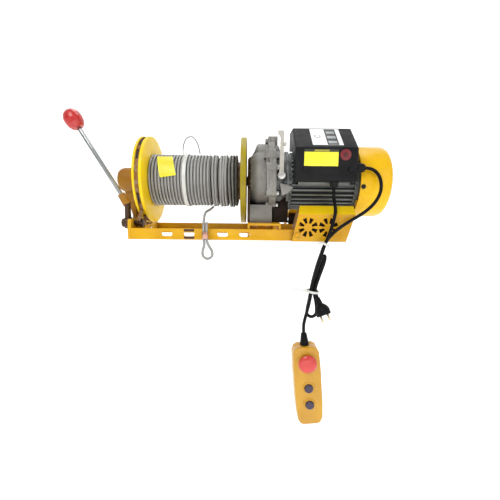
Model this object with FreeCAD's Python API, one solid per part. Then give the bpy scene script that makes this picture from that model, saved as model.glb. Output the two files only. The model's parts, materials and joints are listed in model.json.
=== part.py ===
import FreeCAD, Part
import math
import os

# Electric wire rope hoist, low-profile winch form, held by its base with the
# pendant control and the rope's eye hanging below it.
# Millimetres.  +X along the drum towards the motor, +Y away from the operator
# side, +Z up.  Origin: centre of the four base bolt holes, at the underside of
# the base rails.

os.makedirs("parts", exist_ok=True)
V = FreeCAD.Vector

# ---------------------------------------------------------------- dimensions
HA = 114.0              # drum axis above the underside of the rails
R_FLANGE = 86.0         # drum flanges
R_BARREL = 38.0         # bare drum
ROPE_D = 5.0            # wire rope
LAY_STEP = 4.4          # radial step from one rope layer to the next
ROPE_PITCH = 6.2        # spacing of the loosely laid outer turns
N_LAYERS = 3
SHAFT_R = 10.0          # drum shaft
FIT = 0.05              # running clearance on radius

RAIL_X0, RAIL_X1 = -200.4, 200.0
RAIL_Y = 88.0           # outer faces of the rails
RAIL_H = 21.0
RAIL_FOOT = 30.0
RAIL_T = 3.0
SLOT_XS = (-133.4, -92.4, -30.2, 10.8)
SLOT_Z = 11.0
SLOT_L, SLOT_W = 20.0, 9.0
BOLT_DX, BOLT_DY, BOLT_R = 300.0, 146.0, 5.5

OUT_X0, OUT_X1 = -196.0, -191.5      # outer disc of the brake wheel
IN_X0, IN_X1 = -184.0, -178.0        # inner disc, which is also the left flange
RF_X0, RF_X1, RF_RIM = 1.5, 5.5, 12.4   # right flange, its rim turned out

GEAR_M = 1.5            # gear module
Z_OUT, Z_IPIN = 46, 14  # output gear and the pinion that drives it
Z_IGEAR, Z_MPIN = 48, 12
GEAR_CD = 45.0          # centre distance of both pairs
GEAR_ANG = 53.0         # direction of the lay shaft from the drum axis, from +Y to +Z
LAY_Y = GEAR_CD * math.cos(math.radians(GEAR_ANG))
LAY_Z = HA + GEAR_CD * math.sin(math.radians(GEAR_ANG))

MOTOR_X0, MOTOR_X1 = 95.0, 226.0
MOTOR_R = 50.0          # finned shell, root of the fins
FIN_R = 57.5
FAN_X0, FAN_X1, FAN_R = 227.0, 300.0, 70.0

BOX_X0, BOX_X1 = 101.0, 215.0
BOX_Y = -85.0
BOX_Z0, BOX_Z1, BOX_Z2 = 109.0, 169.0, 214.0

PED_Y = 98.0            # front and back of the ventilated pedestal under the motor
CORD_D = 6.0            # power cord and pendant cable
PEN_TOP = (124.5, -112.0, -191.0)
PEN_TILT = 5.5          # degrees, foot of the handset swung towards +X

solids_count = {}


# ------------------------------------------------------------------- helpers
def box(x0, x1, y0, y1, z0, z1):
    return Part.makeBox(x1 - x0, y1 - y0, z1 - z0, V(x0, y0, z0))


def cyl(r, p, d, h):
    return Part.makeCylinder(r, h, V(*p), V(*d))


def cylx(r, x0, x1, y=0.0, z=HA):
    return Part.makeCylinder(r, x1 - x0, V(x0, y, z), V(1, 0, 0))


def cyly(r, y0, y1, x, z):
    return Part.makeCylinder(r, y1 - y0, V(x, y0, z), V(0, 1, 0))


def cylz(r, z0, z1, x, y):
    return Part.makeCylinder(r, z1 - z0, V(x, y, z0), V(0, 0, 1))


def ringx(ro, ri, x0, x1, y=0.0, z=HA):
    return cylx(ro, x0, x1, y, z).cut(cylx(ri, x0 - 1, x1 + 1, y, z))


def face(pts):
    return Part.Face(Part.makePolygon([V(*p) for p in pts] + [V(*pts[0])]))


def prism_x(yz, x0, x1):
    return face([(x0, y, z) for y, z in yz]).extrude(V(x1 - x0, 0, 0))


def prism_y(xz, y0, y1):
    return face([(x, y0, z) for x, z in xz]).extrude(V(0, y1 - y0, 0))


def prism_z(xy, z0, z1):
    return face([(x, y, z0) for x, y in xy]).extrude(V(0, 0, z1 - z0))


def turn_x(xr, y=0.0, z=HA, angle=360):
    """Solid of revolution about a line along X; xr lists (x, radius)."""
    f = face([(x, y, z + r) for x, r in xr])
    return f.revolve(V(0, y, z), V(1, 0, 0), angle)


def fuse(*s):
    r = s[0]
    for t in s[1:]:
        r = r.fuse(t)
    return r.removeSplitter()


def cut(a, *s):
    for t in s:
        a = a.cut(t)
    return a


def ang_pt(r, deg, y=0.0, z=HA):
    """Point at radius r about a line along X, angle measured from +Y to +Z."""
    a = math.radians(deg)
    return y + r * math.cos(a), z + r * math.sin(a)


def save(name, shape):
    sol = shape if isinstance(shape, list) else [shape]
    out = []
    for s in sol:
        out += s.Solids
    assert out, name + " has no solid"
    for s in out:
        assert s.isValid() and s.Volume > 1.0, name + " has a bad solid"
    comp = out[0] if len(out) == 1 else Part.makeCompound(out)
    comp.exportStep("parts/%s.step" % name)
    solids_count[name] = len(out)
    b = comp.BoundBox
    print("%-22s %2d  vol %10.1f  x %7.1f %7.1f  y %7.1f %7.1f  z %7.1f %7.1f" % (
        name, len(out), comp.Volume, b.XMin, b.XMax, b.YMin, b.YMax, b.ZMin, b.ZMax))
    return comp


def gear(m, z, x0, x1, y, zc, phase, bore, backlash=0.12, add=0.8, ded=1.05, pa=25.0):
    """Stub-tooth involute spur gear along X; a tooth is centred at angle phase."""
    rp = m * z / 2.0
    ra, rf = rp + add * m, rp - ded * m
    al = math.radians(pa)
    rb = rp * math.cos(al)
    half = math.pi / (2 * z) - backlash / (2 * rp)

    def inv(t):
        return math.tan(t) - t

    def hw(r):
        if r <= rb:
            return half + inv(al)
        return half + inv(al) - inv(math.acos(rb / r))

    r0 = max(rf, rb + 0.01)
    rs = [r0 + (ra - r0) * k / 3.0 for k in range(4)]
    pts = []
    for k in range(z):
        c = math.radians(phase) + 2 * math.pi * k / z
        prof = []
        if rf < r0:
            prof.append((rf, -hw(r0)))
        prof += [(r, -hw(r)) for r in rs]
        prof += [(r, hw(r)) for r in reversed(rs)]
        if rf < r0:
            prof.append((rf, hw(r0)))
        pts += [(x0, y + r * math.cos(c + t), zc + r * math.sin(c + t)) for r, t in prof]
    g = face(pts).extrude(V(x1 - x0, 0, 0))
    return g.cut(cylx(bore, x0 - 1, x1 + 1, y, zc))


def hexbolt(p, d, r, length, head_r, head_h):
    """Hexagon-head screw; p is under the head, d points along the shank."""
    d = V(*d)
    ax = V(0, 0, 1)
    pts = [V(head_r * math.cos(math.radians(60 * k)), head_r * math.sin(math.radians(60 * k)), 0)
           for k in range(6)]
    h = Part.Face(Part.makePolygon(pts + [pts[0]])).extrude(V(0, 0, -head_h))
    s = h.fuse(Part.makeCylinder(r, length, V(0, 0, 0), V(0, 0, 1))).removeSplitter()
    s.Placement = FreeCAD.Placement(V(*p), FreeCAD.Rotation(ax, d))
    return s


def route(name, pts, r):
    """Tube along straight runs joined by tangent arcs, each arc as large as its runs allow."""
    P = [V(*p) for p in pts]
    runs = [(P[i + 1] - P[i]).Length for i in range(len(P) - 1)]
    edges = []
    here = P[0]
    radii = []
    for i in range(1, len(P) - 1):
        u = (P[i] - P[i - 1]).normalize()
        w = (P[i + 1] - P[i]).normalize()
        turn = u.getAngle(w)
        t = 0.45 * min(runs[i - 1], runs[i])
        rad = t / math.tan(turn / 2)
        radii.append(rad)
        a = P[i] - u * t
        b = P[i] + w * t
        bis = (w - u).normalize()
        c = P[i] + bis * (rad / math.cos(turn / 2))
        mid = c - bis * rad
        if (a - here).Length > 1e-6:
            edges.append(Part.LineSegment(here, a).toShape())
        edges.append(Part.Arc(a, mid, b).toShape())
        here = b
    edges.append(Part.LineSegment(here, P[-1]).toShape())
    wire = Part.Wire(edges)
    t0 = (P[1] - P[0]).normalize()
    circ = Part.Wire([Part.Circle(P[0], t0, r).toShape()])
    tube = wire.makePipeShell([circ], True, False)
    if not isinstance(tube, Part.Solid):
        tube = Part.Solid(tube)
    if tube.Volume < 0:
        tube.reverse()
    want = math.pi * r * r * wire.Length
    print("route %s: length %.1f mm, volume/expected %.4f" % (name, wire.Length, tube.Volume / want))
    print("   runs  " + " ".join("%.0f" % q for q in runs))
    print("   radii " + " ".join("%.1f" % q for q in radii) + "   (diameter %.1f)" % (2 * r))
    return tube


def tilt(shape):
    """Swing a handset piece, modelled upright, to the way it hangs."""
    s = shape.copy()
    s.rotate(V(*PEN_TOP), V(0, 1, 0), -PEN_TILT)
    return s


def slot_y(x, z, length, w, y0, y1):
    h = (length - w) / 2.0
    return fuse(box(x - h, x + h, y0, y1, z - w / 2, z + w / 2),
                cyly(w / 2, y0, y1, x - h, z), cyly(w / 2, y0, y1, x + h, z))


# ---------------------------------------------------------------------- base
def rail(sign):
    ya, yb = (-RAIL_Y, -RAIL_Y + RAIL_T) if sign < 0 else (RAIL_Y - RAIL_T, RAIL_Y)
    fa, fb = (-RAIL_Y, -RAIL_Y + RAIL_FOOT) if sign < 0 else (RAIL_Y - RAIL_FOOT, RAIL_Y)
    s = fuse(box(RAIL_X0, RAIL_X1, ya, yb, 0, RAIL_H), box(RAIL_X0, RAIL_X1, fa, fb, 0, RAIL_T))
    s = s.makeFillet(1.2, [e for e in s.Edges if abs(e.BoundBox.XLength - (RAIL_X1 - RAIL_X0)) < 0.1
                           and (abs(e.BoundBox.ZMin - RAIL_H) < 0.01
                                or (abs(e.BoundBox.ZMin) < 0.01 and abs(abs(e.BoundBox.YMin) - RAIL_Y) < 0.01))])
    for x in (SLOT_XS if sign < 0 else ()):
        s = s.cut(slot_y(x, SLOT_Z, SLOT_L, SLOT_W, ya - 1, yb + 1))
    for x in (-BOLT_DX / 2, BOLT_DX / 2):
        s = s.cut(cylz(BOLT_R, -1, RAIL_T + 1, x, sign * BOLT_DY / 2))
    return s


save("front_rail", rail(-1))
save("rear_rail", rail(1))

EP_X0, EP_X1 = -206.4, RAIL_X0       # end plate closing the left end of the rails
YI = RAIL_Y - RAIL_T
end_profile = [(-87, 0), (87, 0), (87, 20), (84, 37), (48, 37), (44, 21), (-44, 21), (-48, 37), (-84, 37), (-87, 20)]
end_plate = prism_x(end_profile, EP_X0, EP_X1)
for y in (-30, 30):
    end_plate = end_plate.cut(cylx(4.0, EP_X0 - 1, EP_X1 + 1, y, 11))
LV_Y, LV_Z = -64.0, 29.0             # brake lever pivot
end_plate = end_plate.cut(cylx(5.0 + FIT, EP_X0 - 1, EP_X1 + 1, LV_Y, LV_Z))

# channel across the rails that carries the gearbox
CM_X0, CM_X1 = 16.0, 78.0
cm = box(CM_X0, CM_X1, -YI, YI, RAIL_T, 31.5).cut(box(CM_X0 + 4, CM_X1 - 4, -YI - 1, YI + 1, RAIL_T - 1, 27.5))
for x in (30, 56):
    for y in (-40, 40):
        cm = cm.cut(cylz(4.25, 20, 40, x, y))
save("gearbox_cross_member", cm)
# angle across the rails that carries the motor's cradle
mm = fuse(box(162, 197, -YI, YI, RAIL_T, 7), box(162, 166, -YI, YI, RAIL_T, 24))

# cradle under the motor
cr = prism_x([(-46, 7), (46, 7), (46, 40), (48, 62), (-48, 62), (-46, 40)], 166, 180)
cr = cr.cut(cylx(FIN_R + 0.1, 150, 190))
cr = cr.cut(prism_x([(-26, 12), (26, 12), (26, 38), (-26, 38)], 150, 190))
save("motor_cradle", fuse(mm, cr))


# ventilated pedestal shells, front and rear, folded from sheet
def pedestal(sign):
    t = 2.0
    w = PED_Y + 1.0

    def band(y0, y1):
        return (y0, y1) if sign > 0 else (-y1, -y0)

    outer = prism_x([(sign * 88.2, 0.0), (sign * PED_Y, 0.0), (sign * PED_Y, 50.0), (sign * 60, 65.0),
                     (sign * 60, 21.6), (sign * 88.2, 21.6)], 84.0, 220.0)
    inner = prism_x([(sign * 80, -5.0), (sign * (PED_Y - t), -5.0), (sign * (PED_Y - t), 48.5),
                     (sign * 62, 62.6), (sign * 58, 62.6), (sign * 58, 15), (sign * 80, 15)], 86.0, 218.0)
    plan_o = prism_z([(84, sign * 50), (84, sign * 88.2), (96, sign * w), (230, sign * w), (230, sign * 50)], -10, 80)
    plan_i = prism_z([(86, sign * 40), (86, sign * 87.6), (98, sign * w), (230, sign * w), (230, sign * 40)], -10, 80)
    yo, yi = band(50, 110), band(30, 115)
    side_o = prism_y([(95, -10), (108, 50), (116, 66), (219, 66), (211, 50), (196, 0), (193, -10)], *yo)
    side_i = prism_y([(97, -10), (110, 50), (118, 66), (217, 66), (209, 50), (194, 0), (191, -10)], *yi)
    s = outer.common(plan_o).common(side_o).cut(inner.common(plan_i).common(side_i))
    # two rosettes of tapered slots in the outer panel
    for cx in (126.0, 163.0):
        for k in range(8):
            a = math.radians(22.5 + 45 * k)
            ux, uz = math.cos(a), math.sin(a)
            px, pz = -uz, ux
            w1, w2, ra, rb = 1.8, 3.8, 7.5, 17.5
            q = [(cx + ux * ra + px * w1, 26 + uz * ra + pz * w1), (cx + ux * rb + px * w2, 26 + uz * rb + pz * w2),
                 (cx + ux * rb - px * w2, 26 + uz * rb - pz * w2), (cx + ux * ra - px * w1, 26 + uz * ra - pz * w1)]
            s = s.cut(prism_y(q, *band(PED_Y - 5, PED_Y + 5)))
    for x, z in PED_SCREWS:
        s = s.cut(cyly(2.6, *band(PED_Y - 5, PED_Y + 5), x, z))
    return s


PED_SCREWS = ((107.0, 12.0), (196.0, 38.0))
PED_F = save("pedestal_front", pedestal(-1))
PED_R = save("pedestal_rear", pedestal(1))

# ------------------------------------------------- left bearing and its screws
BB_X0, BB_X1 = -212.4, EP_X0
r_top = 27.0
hub_x0 = -251.0
bb = fuse(prism_x([(-44, 3), (44, 3), (44, 22), (30, HA - 6), (-30, HA - 6), (-44, 22)], BB_X0, BB_X1),
          cylx(r_top + 3.2, BB_X0, BB_X1))
hub = turn_x([(hub_x0, 0), (hub_x0, 15), (hub_x0 + 2.5, 20), (hub_x0 + 7, 23.2), (hub_x0 + 13, 24.5),
              (BB_X0 - 6, 25.5), (BB_X0 - 2, 27), (BB_X0, 29), (BB_X1, 29), (BB_X1, 0)])
rib = prism_y([(-243, HA - 15), (BB_X0 + 1, HA - 15), (BB_X0 + 1, 12), (-219, 20)], -5, 5)
bb = fuse(bb, hub, rib)
bb = bb.cut(cylx(21.0, hub_x0 + 6, -222)).cut(cylx(15, -230, BB_X1 + 1))
for y in (-30, 30):
    bb = bb.cut(cylx(4.25, BB_X0 - 1, BB_X1 + 1, y, 11))
save("bearing_bracket", bb)
left_brg = ringx(21.0, SHAFT_R + FIT, -240, -228).cut(ringx(17.6, 13.4, -241, -239)).cut(ringx(17.6, 13.4, -229, -227))

# ------------------------------------------------------------------ drum body
save("drum_shaft", fuse(cylx(SHAFT_R, -242, 50.6), cylx(13.5, -226, -212.0)))
outer_disc = fuse(cylx(R_FLANGE, OUT_X0, OUT_X1), cylx(22, OUT_X0 - 4, OUT_X0))
save("brake_wheel", fuse(outer_disc, ringx(80, 70, OUT_X1, IN_X0)).cut(cylx(SHAFT_R, -210, -180)))
save("flange_left", ringx(R_FLANGE, SHAFT_R, IN_X0, IN_X1))
save("drum_barrel", ringx(R_BARREL, R_BARREL - 4, IN_X1, RF_X0))
rf = fuse(cylx(R_FLANGE, RF_X0, RF_X1), ringx(R_FLANGE, R_FLANGE - 4, RF_X0, RF_RIM), cylx(24, RF_X0, 11.0))
save("flange_right", rf.cut(cylx(SHAFT_R, -10, 30)))

# rope wound on the drum: turns side by side over full layers beneath
r_in = R_BARREL + 0.02
r_c = R_BARREL + ROPE_D / 2 + (N_LAYERS - 1) * LAY_STEP
x_a, x_b = IN_X1 + 0.05, RF_X0 - 0.05
n_turn = int((x_b - x_a) // ROPE_PITCH)
pitch = (x_b - x_a) / n_turn
edges = []
x = x_a
e0 = V(x_a, 0, HA + r_c)
edges.append(Part.LineSegment(V(x_a, 0, HA + r_in), e0).toShape())
for k in range(n_turn):
    xa, xb = x_a + k * pitch, x_a + (k + 1) * pitch
    edges.append(Part.Arc(V(xa, 0, HA + r_c), V((xa + xb) / 2, 0, HA + r_c + ROPE_D / 2), V(xb, 0, HA + r_c)).toShape())
edges.append(Part.LineSegment(V(x_b, 0, HA + r_c), V(x_b, 0, HA + r_in)).toShape())
edges.append(Part.LineSegment(V(x_b, 0, HA + r_in), V(x_a, 0, HA + r_in)).toShape())
wind = Part.Face(Part.Wire(edges)).revolve(V(0, 0, HA), V(1, 0, 0), 360)
save("rope_winding", wind)
R_PACK = r_c + ROPE_D / 2
print("pack radius %.2f, turns per layer %d, pitch %.3f, rope on drum %.1f m" % (
    R_PACK, n_turn, pitch,
    sum(2 * math.pi * (R_BARREL + ROPE_D / 2 + k * LAY_STEP) * n_turn for k in range(N_LAYERS)) / 1000))

# ---------------------------------------------------------------- brake band
bx0, bx1 = OUT_X1 + 0.6, IN_X0 - 0.6
lin = ringx(82.6, 80.4, bx0 + 0.3, bx1 - 0.3)
LUG_A, LUG_B = 225.5, 240.5
gap_in = prism_x([(0, HA), ang_pt(120, LUG_A), ang_pt(120, LUG_B)], bx0 - 1, bx1 + 1)
save("brake_lining", lin.cut(gap_in))
band = ringx(84.4, 82.62, bx0, bx1)
wins = [(100, 135), (142, 157), (199.5, 214), (246, 271), (20, 54), (66, 84), (316, 330), (338, 358)]
for a0, a1 in wins:
    pts = [(0, HA)] + [ang_pt(110, a0 + (a1 - a0) * k / 4.0) for k in range(5)]
    w = prism_x(pts, bx0 + 1.0, bx1 - 1.0)
    band = band.cut(w)
band = band.cut(gap_in)
# turned-out ends of the band, one each side of the lever's cam
def band_lug(a, s, r1):
    y0, z0 = ang_pt(83.2, a)
    y1, z1 = ang_pt(r1, a)
    u = (2.4 * math.cos(math.radians(a + 90 * s)), 2.4 * math.sin(math.radians(a + 90 * s)))
    return prism_x([(y0, z0), (y1, z1), (y1 + u[0], z1 + u[1]), (y0 + u[0], z0 + u[1])], bx0, bx1)


band = fuse(band, band_lug(LUG_A, -1, 112.0), band_lug(LUG_B, 1, 105.0))
save("brake_band", band)
# post that the fixed end of the band leans on, off the end plate
post = prism_x([(-58, 5), (-40, 5), (-40, 17), (-52, 28), (-58, 20)], RAIL_X0, IN_X0)
post = post.cut(ringx(100.5, 50, OUT_X0 - 1.5, 0)).cut(band)
post = max(post.Solids, key=lambda q: q.Volume)
save("left_end_plate", fuse(end_plate, post))

# ----------------------------------------------------------------- brake lever
# dark steel hub and arm on a pin through the end plate, rod screwed into its head
lv_x0, lv_x1 = -218.0, -208.4
arm = fuse(cylx(11.0, lv_x0, lv_x1 + 1.6, LV_Y, LV_Z),
           prism_x([(LV_Y - 7, LV_Z), (LV_Y + 7, LV_Z), (LV_Y + 6, 66), (LV_Y - 6, 66)], -216.5, -209.5))
rod_a = V(-213.0, LV_Y, 64.0)
rod_dir = V(-80.6, 0, 134.2).normalize()
head_end = rod_a + rod_dir * 22
head = Part.makeCone(8.0, 7.0, 22, rod_a, rod_dir)
arm = fuse(arm, head)
arm = arm.cut(cylx(5.0 + FIT, lv_x0 - 1, lv_x1 + 4, LV_Y, LV_Z))
arm = arm.cut(Part.makeCylinder(4.0, 20, rod_a + rod_dir * 8, rod_dir))
save("brake_lever_arm", arm)
rod_len = 168.0
rod = Part.makeCylinder(4.0, rod_len, rod_a + rod_dir * 8, rod_dir)
knob_base = rod_a + rod_dir * (8 + rod_len - 14)
save("brake_lever_rod", rod)


def turn_dir(lr, base, d):
    """Solid of revolution along direction d from base; lr lists (length, radius)."""
    pts = [V(l, r, 0) for l, r in lr]
    f = Part.Face(Part.makePolygon(pts + [pts[0]]))
    s = f.revolve(V(0, 0, 0), V(1, 0, 0), 360)
    s.Placement = FreeCAD.Placement(base, FreeCAD.Rotation(V(1, 0, 0), d))
    return s


knob = turn_dir([(0, 0), (0, 9), (2, 11.5), (8, 14.8), (16, 16.2), (23, 15.8), (29, 13.2), (33, 9.3), (35.5, 4.5), (36.2, 0)],
                knob_base, rod_dir)
save("brake_lever_knob", knob.cut(Part.makeCylinder(4.0, 14.0, knob_base, rod_dir)))
cam = fuse(cylx(5.0, -221.0, IN_X0, LV_Y, LV_Z), cylx(8.0, -223.5, -218.6, LV_Y, LV_Z),
           cylx(7.5, bx0, bx1, LV_Y + 1.5, LV_Z))
save("brake_cam_shaft", cam)

# ---------------------------------------------------------------- gear train
ph = GEAR_ANG
save("output_gear", gear(GEAR_M, Z_OUT, 38.0, 49.5, 0, HA, ph, SHAFT_R))
save("lay_gear", gear(GEAR_M, Z_IGEAR, 54.0, 62.0, LAY_Y, LAY_Z, ph + 180 + 180.0 / Z_IGEAR, 6.0))
save("lay_pinion_shaft", fuse(gear(GEAR_M, Z_IPIN, 37.0, 51.0, LAY_Y, LAY_Z, ph + 180 + 180.0 / Z_IPIN, 5.0), cylx(6.0, 26.2, 74.8, LAY_Y, LAY_Z)))
mpin = gear(GEAR_M, Z_MPIN, 53.0, 64.5, 0, HA, ph, 4.0)

# gearbox: round cast body, bulge over the lay shaft, foot, bolted joint
GJ = 63.0        # joint plane between body and cover
def gear_body(x0, x1, r, rl):
    return fuse(cylx(r, x0, x1), cylx(rl, x0, x1, LAY_Y, LAY_Z))


body = fuse(
    turn_x([(15.0, 0), (15.0, 44), (17.5, 47.5), (22, 50), (34, 58), (GJ, 60), (GJ, 0)]),
    turn_x([(24.0, 0), (24.0, 22), (27, 26), (33.5, 41.5), (36, 43), (GJ, 43.5), (GJ, 0)], LAY_Y, LAY_Z),
    prism_x([(-52, 31.6), (52, 31.6), (52, 44), (46, 66), (-46, 66), (-52, 44)], 20, 70.5).common(box(20, GJ, -80, 80, 0, 200)),
    box(15, 20, -48, 48, 31.6, 96))
flange = fuse(cylx(66.0, GJ - 6.5, GJ), cylx(50.0, GJ - 6.5, GJ, LAY_Y, LAY_Z))
body = fuse(body, flange)
cav = fuse(cylx(44.0, 34.5, GJ + 1), cylx(39.5, 34.5, GJ + 1, LAY_Y, LAY_Z))
body = body.cut(cav)
body = body.cut(cylx(21.0, 18.5, 35)).cut(cylx(12.5, 10, 20)).cut(cylx(11, 26.0, 35, LAY_Y, LAY_Z))
J_BOLTS = [(62, 8), (62, 205), (62, 232), (62, 262), (62, 160), (62, 340), (62, 300)]
jb = []
for rr, aa in J_BOLTS:
    y, z = ang_pt(rr - 0.5, aa)
    jb.append((y, z))
    body = fuse(body, cylx(7.5, GJ - 12, GJ, y, z))
for aa in (25, 95):
    y, z = ang_pt(46.5, aa, LAY_Y, LAY_Z)
    jb.append((y, z))
    body = fuse(body, cylx(7.5, GJ - 12, GJ, y, z))
for y, z in jb:
    body = body.cut(cylx(3.0, GJ - 10, GJ + 1, y, z))
# raised rib on the operator side, lifting ear on top of the joint
body = fuse(body, prism_x([(-62, 128), (-30, 128), (-22, 176), (-44, 172)], 50, 56.4),
            box(56.5, GJ, 10, 30, HA + 60, HA + 92.5))
body = body.cut(cav)
for y, z in jb:
    body = body.cut(cylx(3.0, GJ - 10, GJ + 1, y, z))
for x in (30, 56):
    for y in (-40, 40):
        body = body.cut(cylz(3.4, 31, 46, x, y))
save("gearbox_body", body)

cover = fuse(cylx(66.0, GJ, GJ + 6.5), cylx(50.0, GJ, GJ + 6.5, LAY_Y, LAY_Z),
             turn_x([(GJ, 0), (GJ, 60), (78, 60), (86, 55), (90, 55), (90, 60), (MOTOR_X0, 60), (MOTOR_X0, 0)]),
             turn_x([(GJ, 0), (GJ, 43.5), (75, 43), (80, 38), (82, 30), (82, 0)], LAY_Y, LAY_Z),
             box(57 + 6, 76, 10, 30, HA + 60, HA + 92.5),
             prism_x([(-44, 31.6), (44, 31.6), (44, 58), (34, 80), (-34, 80), (-44, 58)], 66, MOTOR_X0))
for y, z in jb:
    cover = fuse(cover, cylx(7.5, GJ, GJ + 8, y, z))
cavc = fuse(cylx(44.0, GJ - 1, 66), cylx(39.5, GJ - 1, 66, LAY_Y, LAY_Z))
cover = cover.cut(cavc)
cover = cover.cut(cylx(11, 60, 75.0, LAY_Y, LAY_Z)).cut(cylx(16.0, 60, 82)).cut(cylx(8.0, 60, 100)).cut(cylx(44, 84, 100))
for y, z in jb:
    cover = cover.cut(cylx(3.3, GJ - 1, GJ + 9, y, z)).cut(cylx(6.6, GJ + 8, GJ + 15, y, z))
save("gearbox_cover", cover)
joint_scr = [hexbolt((GJ + 8, y, z), (-1, 0, 0), 2.9, 17, 5.6, 4.0) for y, z in jb]
save("drum_bearings", [left_brg, ringx(21.0, SHAFT_R + FIT, 20, 32).cut(ringx(17.6, 13.4, 31, 33)).cut(ringx(17.6, 13.4, 19, 21))])
save("lay_bearings", [ringx(11.0, 6.0 + FIT, 26.5, 34.0, LAY_Y, LAY_Z), ringx(11.0, 6.0 + FIT, 66.5, 74.0, LAY_Y, LAY_Z)])

# clutch lever: flat pressed bar on a pin in front of the gearbox cover
CL_X, CL_Y, CL_Z = 78.0, -72.0, 120.0
clv = fuse(cyly(7.0, CL_Y - 3, CL_Y + 3, CL_X, CL_Z),
           prism_y([(CL_X - 4.5, CL_Z), (CL_X + 4.5, CL_Z), (CL_X + 2.5, 198), (CL_X - 3.0, 198)], CL_Y - 2, CL_Y + 2),
           prism_y([(CL_X + 2.5, 188), (CL_X + 2.5, 200), (CL_X - 8.5, 200), (CL_X - 7.5, 195), (CL_X - 3, 188)], CL_Y - 2, CL_Y + 2),
           cyly(3.0, CL_Y - 6, CL_Y, CL_X + 5.0, 176), box(CL_X, CL_X + 6, CL_Y - 2, CL_Y + 2, 173, 179))
clv = clv.cut(cyly(4.0 + FIT, CL_Y - 5, CL_Y + 5, CL_X, CL_Z))
save("clutch_lever", clv)
cp = fuse(cyly(4.0, CL_Y - 6, -56.5, CL_X, CL_Z), cyly(6.5, CL_Y - 8.5, CL_Y - 3.5, CL_X, CL_Z), cyly(7.0, CL_Y + 3.5, -60.5, CL_X, CL_Z))
cp = cp.cut(cylx(60.05, 60, 100))
save("clutch_pin", cp)

# --------------------------------------------------------------------- motor
fins = []
prof = []
nf = 36
for k in range(nf):
    c = 360.0 * k / nf
    for r, da in ((MOTOR_R, -3.2), (FIN_R, -1.5), (FIN_R, 1.5), (MOTOR_R, 3.2)):
        prof.append(ang_pt(r, c + da))
mot = prism_x(prof, MOTOR_X0 + 5, MOTOR_X1 - 4)
mot = fuse(mot, cylx(55.5, MOTOR_X0, MOTOR_X0 + 5.2), cylx(55.5, MOTOR_X1 - 4.2, MOTOR_X1))
pad = prism_x([(-66, 122), (-58, 104), (-30, 104), (-10, 150), (-10, 178), (-30, 178)], BOX_X0 + 10, BOX_X1 - 6)
pad = pad.cut(cylx(49.0, 80, 240))
pad_cut = prism_x([(-61, 100), (-61, 150), (-24, 176), (0, 176), (0, 200), (-90, 200), (-90, 100)], 80, 240)
pad = pad.cut(pad_cut)
mot = fuse(mot, pad)
mot = mot.cut(cylx(45.0, 80, 240))
save("motor_housing", mot)
save("stator_core", ringx(45.0, 28.0, 122, 192))
save("stator_windings", [ringx(41.0, 29.0, 106, 121.9), ringx(41.0, 29.0, 192.1, 208)])
save("rotor_core", ringx(27.5, 8.0, 121, 193))
rs = fuse(cylx(5.0, 51.2, 66.5), cylx(7.5, 66.5, 121.0), cylx(8.0, 121, 193), cylx(7.5, 193, 262))
save("rotor_shaft", fuse(rs, mpin))
save("motor_bearings", [ringx(16.0, 7.5 + FIT, 70, 81), ringx(16.0, 7.5 + FIT, 214, 224)])
bell = turn_x([(MOTOR_X1, 0), (MOTOR_X1, 55.5), (MOTOR_X1 + 6, 55.5), (MOTOR_X1 + 10, 50), (MOTOR_X1 + 10, 0)])
bell = fuse(bell, cylx(44.9, MOTOR_X1 - 6, MOTOR_X1 + 1), cylx(20, MOTOR_X1 - 14, MOTOR_X1))
bell = bell.cut(cylx(16.0, 200, 224.2)).cut(cylx(9.0, 200, 240))
save("rear_bell", bell)
fan = fuse(cylx(14, 240, 258), ringx(60, 50, 240, 242.5), cylx(50.5, 240, 242.5))
for k in range(9):
    b = box(242.4, 258, 13, 60, HA - 1.25, HA + 1.25)
    b.rotate(V(0, 0, HA), V(1, 0, 0), 40.0 * k)
    fan = fan.fuse(b)
fan = fan.removeSplitter().cut(cylx(7.5, 230, 270))
save("cooling_fan", fan)

# fan cover: drawn sheet cowl with a domed, slotted end
ocup = turn_x([(FAN_X0, 0), (FAN_X0, FAN_R), (279, FAN_R), (286, 67), (290.5, 60), (294, 48), (298, 30), (FAN_X1, 12), (FAN_X1, 0)])
icup = turn_x([(FAN_X0 - 5, 0), (FAN_X0 - 5, FAN_R - 2), (278.2, FAN_R - 2), (284.6, 65.4), (288.8, 58.9), (292.1, 47.4), (296.1, 29.6),
               (FAN_X1 - 2, 11.6), (FAN_X1 - 2, 0)])
fcv = ocup.cut(icup)
for rr in (16, 26, 36, 46):
    for k in range(8):
        w = ringx(rr + 2.2, rr - 2.2, 286, 306)
        a0, a1 = 45 * k + 5, 45 * k + 40
        sec = prism_x([(0, HA)] + [ang_pt(90, a0 + (a1 - a0) * j / 3.0) for j in range(4)], 284, 311)
        fcv = fcv.cut(w.common(sec))
# four feet that meet the rear bell
for a in (45, 135, 225, 315):
    y, z = ang_pt(61.5, a)
    lug = cylx(7.0, FAN_X0 + 1.0, FAN_X0 + 7.0, y, z).common(cylx(FAN_R - 1, 200, 300)).cut(cylx(55.5, 200, 300))
    fcv = fuse(fcv, lug)
for a in (190,):
    y, z = ang_pt(FAN_R, a)
    d = (0, math.cos(math.radians(a)), math.sin(math.radians(a)))
    fcv = fcv.cut(cyl(2.6, (FAN_X0 + 5, y - d[1] * 6, z - d[2] * 6), d, 12))
save("fan_cover", fcv)

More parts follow.
